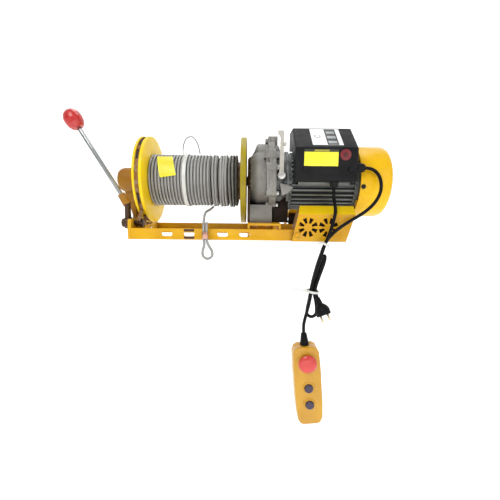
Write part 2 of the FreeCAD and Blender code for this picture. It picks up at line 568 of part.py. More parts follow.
# --------------------------------------------------- terminal and capacitor box
prof_o = [(BOX_Y, BOX_Z0), (BOX_Y, BOX_Z1), (-30, BOX_Z2), (14, BOX_Z2), (14, 176.2), (-24, 176.2), (-61.2, 150), (-61.2, BOX_Z0)]
bxo = prism_x(prof_o, BOX_X0, BOX_X1)
hor = [e for e in bxo.Edges if abs(e.BoundBox.XLength - (BOX_X1 - BOX_X0)) < 0.1 and (e.BoundBox.YMin < -80 or e.BoundBox.ZMin > 200)]
bxo = bxo.makeFillet(4.0, hor)
ends = [e for e in bxo.Edges if e.BoundBox.XLength < 0.01 and (e.BoundBox.ZMin > 168.0 or e.BoundBox.YMax < -84.9) and e.BoundBox.ZLength + e.BoundBox.YLength > 20 and e.BoundBox.YMax < 13.9]
try:
    bxo = bxo.makeFillet(3.0, ends)
except Exception as ex:
    print("box end fillet skipped", ex)
prof_i = [(BOX_Y + 3, BOX_Z0 + 3), (BOX_Y + 3, BOX_Z1 - 1.3), (-31.1, BOX_Z2 - 3), (11, BOX_Z2 - 3), (11, 179.2), (-25, 179.2), (-64.2, 151.5), (-64.2, BOX_Z0 + 3)]
bxi = prism_x(prof_i, BOX_X0 + 3, BOX_X1 - 3)
shell = bxo.cut(bxi)
# the lid is everything in front of a plane parallel to the front face
LID_Z = 126.0
split_lid = prism_x([(-120, LID_Z), (-66.0, LID_Z), (-66.0, 153), (-27, 181.5), (9, 181.5), (9, 260), (-120, 260)], 80, 240)
lid = shell.common(split_lid)
base_box = shell.cut(split_lid)
GA = (BOX_X1, -75.0, 134.7)       # power cord gland on the end wall
GB = (175.5, -75.0, BOX_Z0)       # pendant cable gland under the box
lid = lid.cut(cylx(7.0, BOX_X1 - 6, BOX_X1 + 2, GA[1], GA[2]))
base_box = base_box.cut(cylx(7.0, BOX_X1 - 6, BOX_X1 + 2, GA[1], GA[2]))
base_box = base_box.cut(cylz(6.1, BOX_Z0 - 2, BOX_Z0 + 5, GB[0], GB[1]))
save("box_base", base_box)
save("capacitors", [cylx(12.0, 108, 158, -51, 177.0), cylx(12.0, 160, 208, -51, 177.0)])


def gland(p, d, tip, rn, rt):
    """Cable gland: lock nut, flange, hexagon body and dome nut with a bore for the cable."""
    d = V(*d)
    prof = [(-8, CORD_D / 2 + 0.05), (-8, rt), (0.0, rt), (0.0, rn), (tip * 0.25, rn), (tip * 0.25, rn - 1.0),
            (tip * 0.6, rn - 1.0), (tip * 0.85, rn - 2.4), (tip, CORD_D / 2 + 1.6), (tip, CORD_D / 2 + 0.05)]
    pts = [V(l, r, 0) for l, r in prof]
    s = Part.Face(Part.makePolygon(pts + [pts[0]])).revolve(V(0, 0, 0), V(1, 0, 0), 360)
    s.Placement = FreeCAD.Placement(V(*p), FreeCAD.Rotation(V(1, 0, 0), d))
    return s


GA_TIP, GB_TIP = 16.0, 11.0
save("power_gland", gland(GA, (1, 0, 0), GA_TIP, 9.5, 6.9))
save("pendant_gland", gland(GB, (0, 0, -1), GB_TIP, 8.5, 6.0))

# pan-head screws: pedestal shells, box lid, fan cover
scr = []
for sign in (-1, 1):
    for x, z in PED_SCREWS:
        scr.append(hexbolt((x, sign * PED_Y, z), (0, -sign, 0), 2.5, 8, 4.6, 2.6))
scr.append(hexbolt((BOX_X0 + 18.8, BOX_Y, LID_Z + 5), (0, 1, 0), 2.5, 8, 4.6, 2.6))
scr.append(hexbolt((BOX_X1 - 13, BOX_Y, LID_Z + 5), (0, 1, 0), 2.5, 8, 4.6, 2.6))
a = 190
y, z = ang_pt(FAN_R, a)
d = (0, -math.cos(math.radians(a)), -math.sin(math.radians(a)))
scr.append(hexbolt((FAN_X0 + 5, y, z), d, 2.5, 8, 4.6, 2.6))
for x, y, z, d in ((BOX_X0 + 18.8, BOX_Y, LID_Z + 5, 1), (BOX_X1 - 13, BOX_Y, LID_Z + 5, 1)):
    lid = lid.cut(cyly(2.6, y - 1, y + 9, x, z))
save("box_lid", lid)
save("hex_bolts", joint_scr + [hexbolt((BB_X0, y, 11), (1, 0, 0), 4.0, 16, 6.5, 5.0) for y in (-30, 30)]
     + [hexbolt((x, y, 27.5), (0, 0, 1), 3.3, 16, 5.5, 4.0) for x in (30, 56) for y in (-40, 40)])

# ------------------------------------------------------- cords and what they carry
# wire rope: off the underside of the drum, over the front rail, down through the
# ferrule, round the eye and back up through the ferrule to its cut end
ROPE_ROUTE = [(-58.0, 6.6, 59.95), (-58.6, -19.5, 56.8), (-59.6, -46.5, 54.1), (-61.0, -71.0, 52.7),
              (-62.4, -89.0, 49.2), (-63.2, -98.4, 38.4), (-63.4, -101.0, 24.0), (-63.4, -101.3, 2.0),
              (-61.9, -101.4, -8.0), (-65.7, -101.4, -17.5), (-65.8, -101.5, -28.8), (-56.6, -101.5, -34.3),
              (-47.4, -101.5, -28.8), (-48.0, -101.4, -18.0), (-55.4, -101.4, -8.0), (-58.2, -101.3, 3.0),
              (-58.1, -101.3, 18.8), (-57.6, -101.5, 34.0)]
rope = save("rope_tail", route("rope_tail", ROPE_ROUTE, ROPE_D / 2))
fer = fuse(box(-63.4, -58.2, -104.6, -98.0, 4.0, 16.5), cylz(3.3, 4.0, 16.5, -63.4, -101.3), cylz(3.3, 4.0, 16.5, -58.2, -101.3))
fer = fer.cut(rope)
save("rope_ferrule", max(fer.Solids, key=lambda q: q.Volume))

# power cord: out of the end wall, down into the bundle, folded twice, to its plug
POWER_ROUTE = [(231.0, -75.0, 134.7), (240.0, -75.2, 134.2), (248.6, -76.3, 130.2), (255.0, -78.5, 123.1),
               (258.4, -81.5, 113.7), (259.2, -85.0, 102.7), (257.1, -88.5, 90.9), (251.4, -92.0, 79.2),
               (242.4, -96.4, 68.5), (230.9, -101.0, 58.8), (217.5, -105.6, 50.1), (202.6, -109.2, 41.9),
               (188.1, -111.2, 33.0), (176.0, -111.4, 24.2), (166.5, -110.6, 15.3), (159.4, -109.6, 5.6),
               (153.4, -109.2, -6.5), (149.4, -109.3, -19.5), (143.9, -109.4, -37.0), (139.0, -109.4, -57.0),
               (134.8, -109.4, -77.0), (132.4, -109.4, -94.0), (130.4, -107.6, -110.0), (128.2, -105.4, -125.0),
               (128.0, -105.0, -136.2), (137.0, -104.8, -141.4), (146.0, -104.6, -136.2), (146.0, -104.6, -124.8),
               (144.4, -105.6, -112.0), (141.2, -108.2, -101.0), (138.9, -109.4, -89.0), (140.8, -109.3, -75.0),
               (145.4, -107.6, -58.0), (150.6, -103.4, -42.0), (153.6, -102.7, -28.3), (155.4, -112.6, -22.0),
               (153.6, -122.5, -28.3), (150.2, -121.6, -42.0), (146.0, -118.0, -58.0), (142.0, -116.8, -72.5),
               (139.3, -116.2, -84.0), (141.3, -117.6, -94.5), (145.59, -122.8, -105.62)]
power = save("power_cord", route("power_cord", POWER_ROUTE, CORD_D / 2))
# pendant cable: out of the gland under the box, through both ties, to the handset
PENDANT_ROUTE = [(175.5, -75.0, 98.0), (175.6, -75.3, 86.5), (175.2, -80.6, 76.2), (174.4, -90.6, 68.4),
                 (173.3, -101.8, 60.5), (171.2, -108.7, 50.7), (167.8, -112.4, 38.1), (163.9, -114.4, 24.3),
                 (158.9, -115.5, 10.3), (153.0, -115.8, -4.7), (148.6, -116.2, -20.5), (143.6, -116.4, -38.0),
                 (138.7, -116.3, -57.0), (133.8, -115.8, -77.0), (132.3, -115.9, -94.5), (130.1, -115.5, -109.0),
                 (126.9, -114.8, -125.0), (123.8, -113.6, -140.0), (121.6, -113.3, -152.0), (121.82, -113.0, -163.13),
                 (122.87, -113.0, -174.08)]
pend = save("pendant_cable", route("pendant_cable", PENDANT_ROUTE, CORD_D / 2))


def tube_gap(a, b, n1, n2):
    c = a.common(b)
    print("overlap %s / %s: %.3f mm3, gap %.2f mm" % (n1, n2, c.Volume, a.distToShape(b)[0]), [tuple(round(w, 1) for w in q.CenterOfMass) for q in c.Solids])


# plug: tapered relief, round grip, face with two round pins
PLUG_D = V(0.33, -0.40, -0.855).normalize()
plug_p = V(141.3, -117.6, -94.5) + PLUG_D * 5.5
plug = turn_dir([(0, 3.05), (0, 4.3), (12, 5.6), (14, 8.0), (18, 11.5), (23, 13.2), (31, 13.2), (33, 12.2), (33, 0), (7.6, 0), (7.6, 3.05)],
                plug_p, PLUG_D)
side = PLUG_D.cross(V(0, 1, 0)).normalize()
pins = []
for k in (-1, 1):
    q = plug_p + PLUG_D * 33 + side * (6.5 * k)
    pins.append(turn_dir([(0, 0), (0, 2.0), (10.0, 2.0), (11.5, 1.2), (11.5, 0)], q, PLUG_D))
save("power_plug", [plug] + pins)

# nylon ties round the bundle
def tie(c, d, ri, ro, w, tail):
    c, d = V(*c), V(*d).normalize()
    t = Part.makeCylinder(ro, w, c - d * (w / 2), d).cut(Part.makeCylinder(ri, w + 2, c - d * (w / 2 + 1), d))
    b = Part.makeBox(tail, 1.2, 3.0, V(-tail - ri - 0.4, -0.6, -1.5))
    h = Part.makeBox(3.4, 5.0, 5.0, V(-ro - 2.6, -2.5, -2.5))
    k = b.fuse(h)
    k.rotate(V(0, 0, 0), V(0, 1, 0), 5)
    k.translate(c)
    k = k.cut(Part.makeCylinder(ri + 0.3, 40, c - d * 20, d))
    return fuse(t, k)


save("cable_ties", [tie((154.9, -112.4, -2.5), (-6.2, 0, -12.6), 7.3, 8.5, 4.0, 7.0),
                    tie((136.0, -112.9, -89.0), (-2, 0, -15), 10.1, 11.3, 4.0, 27.0)])

# nylon strap that keeps the turns together on the drum, with its free tail
SX = -108.0
strap = ringx(R_PACK + 1.5, R_PACK + 0.1, SX - 3.5, SX + 3.5)
tail = route("strap_tail", [(SX, -37, HA + 37.2), (-112, -36.5, HA + 60), (-106, -33.5, HA + 78),
                            (-94, -30.5, HA + 83.5), (-84, -27.5, HA + 71), (-79.5, -25.5, HA + 50)], 1.2)
save("rope_strap", fuse(strap, tail))

# ------------------------------------------------------------- pendant handset
PX, PY, PZ = PEN_TOP
PYF, PYM, PYB = -130.0, -113.0, -96.0


def pen_outline(inset, y0, y1):
    o = [(-14, 0), (14, 0), (20.5, -4), (24, -12), (25.2, -40), (25.2, -110), (23.5, -141), (19, -150.5), (13, -153),
         (-13, -153), (-19, -150.5), (-23.5, -141), (-25.2, -110), (-25.2, -40), (-24, -12), (-20.5, -4)]
    c = (0.0, -76.5)
    q = []
    for x, z in o:
        kx = (abs(x) - inset) / abs(x)
        kz = (abs(z - c[1]) - inset) / abs(z - c[1])
        q.append((PX + x * kx, PZ + c[1] + (z - c[1]) * kz))
    return prism_y(q, y0, y1)


EST = (0.0, -26.0)
UPB, DNB = (0.0, -78.0), (0.0, -111.0)
front = pen_outline(0, PYF, PYM)
try:
    fe = [e for e in front.Edges if abs(e.BoundBox.YMin - PYF) < 0.01 and e.BoundBox.YLength < 0.01]
    front = front.makeFillet(4.0, fe)
except Exception as ex:
    print("front shell fillet skipped", ex)
front = front.cut(pen_outline(2.6, PYF + 2.6, PYM + 1))
back = pen_outline(0, PYM, PYB)
try:
    be = [e for e in back.Edges if abs(e.BoundBox.YMax - PYB) < 0.01 and e.BoundBox.YLength < 0.01]
    back = back.makeFillet(6.0, be)
except Exception as ex:
    print("back shell fillet skipped", ex)
back = back.cut(pen_outline(2.6, PYM - 1, PYB - 2.6))
front = fuse(front, cyly(19.0, PYF - 1.6, PYF + 0.5, PX + EST[0], PZ + EST[1]),
             cyly(11.5, PYF - 1.6, PYF + 0.5, PX + UPB[0], PZ + UPB[1]), cyly(11.5, PYF - 1.6, PYF + 0.5, PX + DNB[0], PZ + DNB[1]))
front = front.cut(cyly(7.0 + FIT, PYF - 3, PYF + 6, PX + EST[0], PZ + EST[1]))
for q in (UPB, DNB):
    front = front.cut(cyly(8.0 + FIT, PYF - 3, PYF + 6, PX + q[0], PZ + q[1]))
neck = cylz(8.0, PZ - 6, PZ + 2, PX, PYM)
front = front.cut(cylz(6.0, PZ - 10, PZ + 2, PX, PYM))
back = back.cut(cylz(6.0, PZ - 10, PZ + 2, PX, PYM))
for z in (PZ - 14, PZ - 139):
    for x in (PX - 16, PX + 16):
        back = fuse(back, cyly(3.6, PYM, PYB - 1, x, z)).cut(cyly(1.6, PYM - 1, PYB + 1, x, z))
save("pendant_front", tilt(front))
save("pendant_back", tilt(back))
save("small_screws", scr + [tilt(hexbolt((x, PYB, z), (0, -1, 0), 1.5, 14, 2.9, 1.6)) for z in (PZ - 14, PZ - 139) for x in (PX - 16, PX + 16)])
boot = Part.Face(Part.makePolygon([V(CORD_D / 2 + 0.05, 0, -8), V(9.0, 0, -8), V(9.0, 0, -3), V(5.9, 0, -3), V(5.9, 0, 0.05),
                                   V(8.4, 0, 0.05), V(8.0, 0, 3), V(5.2, 0, 22), V(CORD_D / 2 + 0.05, 0, 22),
                                   V(CORD_D / 2 + 0.05, 0, -8)])).revolve(V(0, 0, 0), V(0, 0, 1), 360)
boot.translate(V(PX, PYM, PZ))
save("pendant_boot", tilt(boot))
save("contact_block", tilt(fuse(box(PX - 15, PX + 15, PYM + 1.0, PYB - 3.0, PZ - 126, PZ - 62),
                               box(PX - 13, PX + 13, PYM + 1.0, PYB - 3.0, PZ - 50, PZ - 18))))


def button(q):
    s = turn_y([(PYF - 5.5, 0), (PYF - 5.5, 6.6), (PYF - 4.2, 8.0), (PYF + 3.4, 8.0), (PYF + 3.4, 9.6), (PYF + 5.0, 9.6),
                (PYF + 5.0, 3.0), (PYF + 12.0, 3.0), (PYF + 12.0, 0)], PX + q[0], PZ + q[1])
    return s


def turn_y(yr, x, z):
    return face([(x + r, y, z) for y, r in yr]).revolve(V(x, 0, z), V(0, 1, 0), 360)


save("up_button", tilt(button(UPB)))
save("down_button", tilt(button(DNB)))
stem = turn_y([(PYF - 7.0, 0), (PYF - 7.0, 6.0), (PYF - 4.8, 7.0), (PYF + 3.4, 7.0), (PYF + 3.4, 9.6), (PYF + 5.0, 9.6),
               (PYF + 5.0, 3.0), (PYF + 12.0, 3.0), (PYF + 12.0, 0)], PX + EST[0], PZ + EST[1])
save("estop_stem", tilt(stem))
cap = turn_y([(PYF - 15.5, 0), (PYF - 15.2, 7), (PYF - 13.8, 13), (PYF - 11.0, 16.6), (PYF - 8.2, 16.6), (PYF - 7.0, 15.6), (PYF - 7.05, 0)],
             PX + EST[0], PZ + EST[1])
save("estop_cap", tilt(cap))

tube_gap(power, pend, "power", "pendant cable")
tube_gap(power, PED_F, "power", "pedestal")
tube_gap(pend, PED_F, "pendant cable", "pedestal")
tube_gap(rope, wind, "rope tail", "winding")
print("nodes:", len(solids_count), " solids:", sum(solids_count.values()))
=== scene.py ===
import bpy, bmesh, json, math, random
from mathutils import Vector, Matrix, Quaternion


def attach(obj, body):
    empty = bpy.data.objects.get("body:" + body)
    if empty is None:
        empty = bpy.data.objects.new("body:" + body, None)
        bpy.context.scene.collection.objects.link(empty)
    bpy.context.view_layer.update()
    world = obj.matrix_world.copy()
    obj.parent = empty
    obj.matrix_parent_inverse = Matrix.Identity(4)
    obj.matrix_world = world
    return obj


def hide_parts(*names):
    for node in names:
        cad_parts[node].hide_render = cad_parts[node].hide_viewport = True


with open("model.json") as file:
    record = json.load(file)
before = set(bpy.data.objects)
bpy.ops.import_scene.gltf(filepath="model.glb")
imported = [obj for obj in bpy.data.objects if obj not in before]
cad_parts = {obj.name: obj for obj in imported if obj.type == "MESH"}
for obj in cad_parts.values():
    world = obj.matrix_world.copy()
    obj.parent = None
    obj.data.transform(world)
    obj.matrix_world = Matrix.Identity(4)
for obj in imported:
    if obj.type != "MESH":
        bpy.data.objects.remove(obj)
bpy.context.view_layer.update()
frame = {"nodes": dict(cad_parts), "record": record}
NODES = frame["nodes"]
random.seed(11)
HA = 0.114
D = bpy.data


# ------------------------------------------------------------------ camera, light, stage
scene = bpy.context.scene
cam = D.objects.new("camera", D.cameras.new("camera"))
scene.collection.objects.link(cam)
cam.data.sensor_width = 36.0
cam.data.lens = 315.0 / 500.0 * 36.0
cam.data.clip_end = 50.0
cam.location = (0.021, -0.670, 0.067)
cam.rotation_mode = "QUATERNION"
cam.rotation_quaternion = (Quaternion((1, 0, 0), math.radians(90 - 8.3)) @ Quaternion((0, 0, 1), math.radians(0.6)))
scene.camera = cam
scene.view_settings.view_transform = "Standard"
scene.view_settings.look = "None"
scene.view_settings.exposure = -0.22

world = D.worlds.new("studio")
scene.world = world
world.use_nodes = True
world.node_tree.nodes["Background"].inputs[0].default_value = (1.0, 1.0, 1.0, 1)
world.node_tree.nodes["Background"].inputs[1].default_value = 0.50


def area(name, loc, target, size, power, color=(1, 1, 1)):
    l = D.lights.new(name, "AREA")
    l.shape = "RECTANGLE"
    l.size, l.size_y = size
    l.energy = power
    l.color = color
    o = D.objects.new(name, l)
    scene.collection.objects.link(o)
    o.location = loc
    o.rotation_euler = (Vector(target) - Vector(loc)).to_track_quat("-Z", "Y").to_euler()
    return o


area("key", (-0.55, -1.25, 1.35), (0.0, 0, 0.06), (0.9, 0.9), 19)
area("fill", (1.3, -1.3, 0.5), (0.05, 0, 0.05), (1.2, 1.2), 7.5)
area("top", (0.1, 0.35, 1.7), (0.0, 0, 0.1), (1.4, 0.8), 13)
area("low", (0.0, -1.4, -0.25), (0.05, 0, -0.05), (1.6, 0.5), 4)


# ------------------------------------------------------------------ small mesh tools
def link(o):
    scene.collection.objects.link(o)
    return o


def mesh_obj(name, verts, faces, mat=None, smooth=False, sharp=None):
    me = D.meshes.new(name)
    me.from_pydata([tuple(v) for v in verts], [], [tuple(f) for f in faces])
    me.update()
    o = link(D.objects.new(name, me))
    if mat:
        me.materials.append(mat)
    if smooth:
        smooth_by_angle(me, sharp)
    return o


def smooth_by_angle(me, deg=None):
    for p in me.polygons:
        p.use_smooth = True
    if deg is not None:
        me.set_sharp_from_angle(angle=math.radians(deg))


def apply_mods(o):
    dg = bpy.context.evaluated_depsgraph_get()
    me = D.meshes.new_from_object(o.evaluated_get(dg), depsgraph=dg)
    o.modifiers.clear()
    old = o.data
    o.data = me
    me.name = o.name
    return o


def refine(node, body, width=0.0006, seg=2, angle=32, planar=0.6, mats=None, name=None):
    """A finished copy of a machined, moulded or folded piece: its edges are broken by a small radius."""
    src = NODES[node]
    me = src.data.copy()
    bm = bmesh.new()
    bm.from_mesh(me)
    bmesh.ops.remove_doubles(bm, verts=bm.verts, dist=2e-6)
    bmesh.ops.dissolve_limit(bm, angle_limit=math.radians(planar), verts=bm.verts, edges=bm.edges)
    bm.to_mesh(me)
    bm.free()
    me.materials.clear()
    for m in mats:
        me.materials.append(m)
    o = link(D.objects.new(name or (node + "_piece"), me))
    if width:
        b = o.modifiers.new("edges", "BEVEL")
        b.width = width
        b.segments = seg
        b.limit_method = "ANGLE"
        b.angle_limit = math.radians(angle)
        b.use_clamp_overlap = True
        b.miter_outer = "MITER_ARC"
        b.harden_normals = False
        apply_mods(o)
    for p in o.data.polygons:
        p.material_index = 0
    smooth_by_angle(o.data, 38)
    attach(o, body)
    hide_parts(node)
    return o


def plate(name, pts, thick, mat, normal, body, lift=0.0, bevel=0.00012):
    """Thin flat plate with the outline pts, its back face lifted off along normal."""
    n = Vector(normal).normalized()
    a = [Vector(p) + n * lift for p in pts]
    b = [p + n * thick for p in a]
    k = len(a)
    faces = [list(range(k))[::-1], list(range(k, 2 * k))] + [[i, (i + 1) % k, k + (i + 1) % k, k + i] for i in range(k)]
    o = mesh_obj(name, a + b, faces, mat)
    bm = bmesh.new(); bm.from_mesh(o.data); bmesh.ops.recalc_face_normals(bm, faces=bm.faces)
    bm.to_mesh(o.data); bm.free()
    if bevel:
        m = o.modifiers.new("b", "BEVEL"); m.width = bevel; m.segments = 2; m.limit_method = "ANGLE"
        apply_mods(o)
    smooth_by_angle(o.data, 30)
    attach(o, body)
    return o


def frames_along(path, closed=False):
    """Points with tangent and two side directions that don't twist."""
    P = [Vector(p) for p in path]
    T = []
    for i in range(len(P)):
        a = P[max(i - 1, 0)]
        b = P[min(i + 1, len(P) - 1)]
        T.append((b - a).normalized())
    n = T[0].orthogonal().normalized()
    out = []
    for i in range(len(P)):
        n = (n - T[i] * n.dot(T[i])).normalized()
        out.append((P[i], T[i], n, T[i].cross(n)))
    return out


def sweep(name, path, section, mat, twist=0.0, cap=True, up=None):
    """section(i, s) gives (radius, angle) pairs round the path at step i, length s; UV: u along, v round."""
    fr = frames_along(path)
    verts, faces, uvu = [], [], []
    s = 0.0
    k = None
    for i, (p, t, n, b) in enumerate(fr):
        if i:
            s += (p - fr[i - 1][0]).length
        if up is not None:
            n = up(i, p, t)
            b = t.cross(n)
        ring = section(i, s)
        k = len(ring)
        for r, a in ring:
            aa = a + twist * s
            verts.append(p + n * (r * math.cos(aa)) + b * (r * math.sin(aa)))
        uvu.append(s)
    m = len(fr)
    for i in range(m - 1):
        for j in range(k):
            a, b2 = i * k + j, i * k + (j + 1) % k
            faces.append((a, b2, b2 + k, a + k))
    nb = len(faces)
    if cap:
        faces.append(tuple(range(k))[::-1])
        faces.append(tuple(range((m - 1) * k, m * k)))
    o = mesh_obj(name, verts, faces, mat)
    uv = o.data.uv_layers.new(name="UVMap")
    for f in range(nb):
        i, j = divmod(f, k)
        for c, (ii, jj) in enumerate(((i, j), (i, j + 1), (i + 1, j + 1), (i + 1, j))):
            uv.data[f * 4 + c].uv = (uvu[ii], jj / k)
    smooth_by_angle(o.data)
    return o


def spline_points(name, pts, res=10):
    """Line of a smooth NURBS curve through the route, and the curve object itself."""
    cu = D.curves.new(name, "CURVE")
    cu.dimensions = "3D"
    sp = cu.splines.new("NURBS")
    sp.points.add(len(pts) - 1)
    for q, p in zip(sp.points, pts):
        q.co = (p[0] / 1000.0, p[1] / 1000.0, p[2] / 1000.0, 1.0)
    sp.order_u = 3
    sp.use_endpoint_u = True
    sp.resolution_u = res
    cu.resolution_u = res
    o = link(D.objects.new(name, cu))
    bpy.context.view_layer.update()
    dg = bpy.context.evaluated_depsgraph_get()
    me = D.meshes.new_from_object(o.evaluated_get(dg), depsgraph=dg)
    line = [v.co.copy() for v in me.vertices]
    D.meshes.remove(me)
    return o, line


# ------------------------------------------------------------------ materials
class NT:
    def __init__(self, name, scale=1.0):
        self.m = D.materials.new(name)
        self.m.use_nodes = True
        self.n = self.m.node_tree.nodes
        self.l = self.m.node_tree.links
        self.b = self.n["Principled BSDF"]
        self.co = self.n.new("ShaderNodeTexCoord")
        self.src = self.co.outputs["Object"]

    def new(self, kind, **kw):
        q = self.n.new(kind)
        for k, v in kw.items():
            if k in q.inputs:
                q.inputs[k].default_value = v
            else:
                setattr(q, k, v)
        return q

    def mapping(self, scale, src=None, rot=(0, 0, 0)):
        q = self.n.new("ShaderNodeMapping")
        q.inputs["Scale"].default_value = scale
        q.inputs["Rotation"].default_value = rot
        self.l.new(src or self.src, q.inputs["Vector"])
        return q.outputs[0]

    def noise(self, scale, detail=3.0, rough=0.55, src=None, dist=0.0):
        q = self.n.new("ShaderNodeTexNoise")
        q.inputs["Scale"].default_value = scale
        q.inputs["Detail"].default_value = detail
        q.inputs["Roughness"].default_value = rough
        q.inputs["Distortion"].default_value = dist
        self.l.new(src or self.src, q.inputs["Vector"])
        return q.outputs["Fac"]

    def voronoi(self, scale, src=None, feature="F1"):
        q = self.n.new("ShaderNodeTexVoronoi")
        q.feature = feature
        q.inputs["Scale"].default_value = scale
        self.l.new(src or self.src, q.inputs["Vector"])
        return q.outputs["Distance"]

    def ramp(self, fac, stops):
        q = self.n.new("ShaderNodeValToRGB")
        e = q.color_ramp.elements
        e[0].position, e[0].color = stops[0][0], (*stops[0][1], 1)
        e[1].position, e[1].color = stops[-1][0], (*stops[-1][1], 1)
        for p, c in stops[1:-1]:
            x = e.new(p)
            x.color = (*c, 1)
        self.l.new(fac, q.inputs[0])
        return q.outputs[0]

    def remap(self, fac, a, b, lo=0.0, hi=1.0):
        q = self.n.new("ShaderNodeMapRange")
        q.inputs["From Min"].default_value = lo
        q.inputs["From Max"].default_value = hi
        q.inputs["To Min"].default_value = a
        q.inputs["To Max"].default_value = b
        self.l.new(fac, q.inputs["Value"])
        return q.outputs[0]

    def mix(self, fac, a, b, kind="MIX"):
        q = self.n.new("ShaderNodeMix")
        q.data_type = "RGBA"
        q.blend_type = kind
        for i, v in ((6, a), (7, b)):
            if isinstance(v, tuple):
                q.inputs[i].default_value = (*v, 1)
            else:
                self.l.new(v, q.inputs[i])
        if isinstance(fac, (int, float)):
            q.inputs[0].default_value = fac
        else:
            self.l.new(fac, q.inputs[0])
        return q.outputs[2]

    def math(self, op, a, b=None):
        q = self.n.new("ShaderNodeMath")
        q.operation = op
        for i, v in enumerate((a, b)):
            if v is None:
                continue
            if isinstance(v, (int, float)):
                q.inputs[i].default_value = v
            else:
                self.l.new(v, q.inputs[i])
        return q.outputs[0]

    def edge(self, lo=0.52, hi=0.60):
        g = self.n.new("ShaderNodeNewGeometry")
        return self.remap(g.outputs["Pointiness"], 0.0, 1.0, lo, hi)

    def set(self, key, v):
        if isinstance(v, (int, float)):
            self.b.inputs[key].default_value = v
        elif isinstance(v, tuple):
            self.b.inputs[key].default_value = (*v, 1) if len(v) == 3 else v
        else:
            self.l.new(v, self.b.inputs[key])

    def bump(self, h, dist, strength=1.0, normal=None):
        q = self.n.new("ShaderNodeBump")
        q.inputs["Strength"].default_value = strength
        q.inputs["Distance"].default_value = dist
        self.l.new(h, q.inputs["Height"])
        if normal is not None:
            self.l.new(normal, q.inputs["Normal"])
        self.l.new(q.outputs[0], self.b.inputs["Normal"])
        return q.outputs[0]


def paint(name, bright, deep, dirt_and_shade=(0.16, 0.07, 0.01), rough=0.34, grime_and_shade=0.5, worn=(0.30, 0.28, 0.25), wear_amt=0.5):
    t = NT(name)
    big = t.noise(14.0, 4, 0.6)
    fine = t.noise(90.0, 5, 0.65)
    col = t.mix(t.remap(big, 0, 1, 0.35, 0.68), bright, deep)
    # painted shade: ambient occlusion darkens hollows, corners and faces under other parts toward the soiled colour,
    # broken up by fine noise
    ao = t.n.new("ShaderNodeAmbientOcclusion")
    ao.inputs["Distance"].default_value = 0.014
    ao.samples = 6
    crevice_shade = t.remap(ao.outputs["AO"], 0.9, 0.0, 0.35, 0.85)
    blotch = t.remap(fine, 0.1, 1.0, 0.42, 0.62)
    col = t.mix(t.math("MULTIPLY", t.math("MULTIPLY", crevice_shade, blotch), grime_and_shade), col, dirt_and_shade)
    # real soiling: fine specks mixed toward the same colour
    speck = t.remap(t.noise(420.0, 2, 0.5), 0, 1, 0.70, 0.74)
    col = t.mix(t.math("MULTIPLY", speck, 0.35 * grime_and_shade), col, dirt_and_shade)
    wear = t.math("MULTIPLY", t.edge(), t.remap(t.noise(160.0, 4, 0.7), 0, 1, 0.50, 0.60))
    col = t.mix(t.math("MULTIPLY", wear, wear_amt), col, worn)
    t.set("Base Color", col)
    t.set("Roughness", t.remap(fine, rough - 0.07, rough + 0.14, 0.3, 0.7))
    t.set("Specular IOR Level", 0.22)
    t.set("Coat Weight", 0.08)
    t.set("Coat Roughness", 0.22)
    h = t.math("ADD", t.math("MULTIPLY", t.noise(650.0, 2, 0.5), 0.5), t.math("MULTIPLY", t.noise(170.0, 2, 0.5), 0.8))
    t.bump(h, 0.00012, 0.5)
    return t.m


def cast_metal(name, light, dark, metallic=0.55, rough=0.5, grain=520.0, depth=0.00025):
    t = NT(name)
    big = t.noise(16.0, 5, 0.65)
    fine = t.noise(grain, 3, 0.6)
    col = t.mix(t.remap(big, 0, 1, 0.35, 0.66), light, dark)
    # painted shade: ambient occlusion darkens hollows and corners toward a deep copy of the dark tone
    ao = t.n.new("ShaderNodeAmbientOcclusion")
    ao.inputs["Distance"].default_value = 0.012
    ao.samples = 6
    crevice_shade = t.remap(ao.outputs["AO"], 0.9, 0.0, 0.3, 0.85)
    col = t.mix(crevice_shade, col, tuple(c * 0.22 for c in dark))
    wear = t.math("MULTIPLY", t.edge(0.51, 0.57), 0.5)
    col = t.mix(wear, col, tuple(min(1.0, c * 1.35) for c in light))
    t.set("Base Color", col)
    t.set("Metallic", metallic)
    t.set("Roughness", t.remap(fine, rough - 0.08, rough + 0.14, 0.3, 0.7))
    pit = t.voronoi(grain * 0.7)
    h = t.math("ADD", fine, t.math("MULTIPLY", pit, 0.6))
    t.bump(h, depth, 0.6)
    return t.m


def steel(name, light, dark, rough=0.3, axis=(1, 60, 60), metallic=1.0):
    t = NT(name)
    br = t.noise(60.0, 4, 0.6, src=t.mapping(axis))
    big = t.noise(40.0, 4, 0.6)
    col = t.mix(t.remap(big, 0, 1, 0.35, 0.65), light, dark)
    t.set("Base Color", col)
    t.set("Metallic", metallic)
    t.set("Roughness", t.remap(br, rough - 0.08, rough + 0.16, 0.3, 0.7))
    t.bump(br, 0.00006, 0.35)
    return t.m


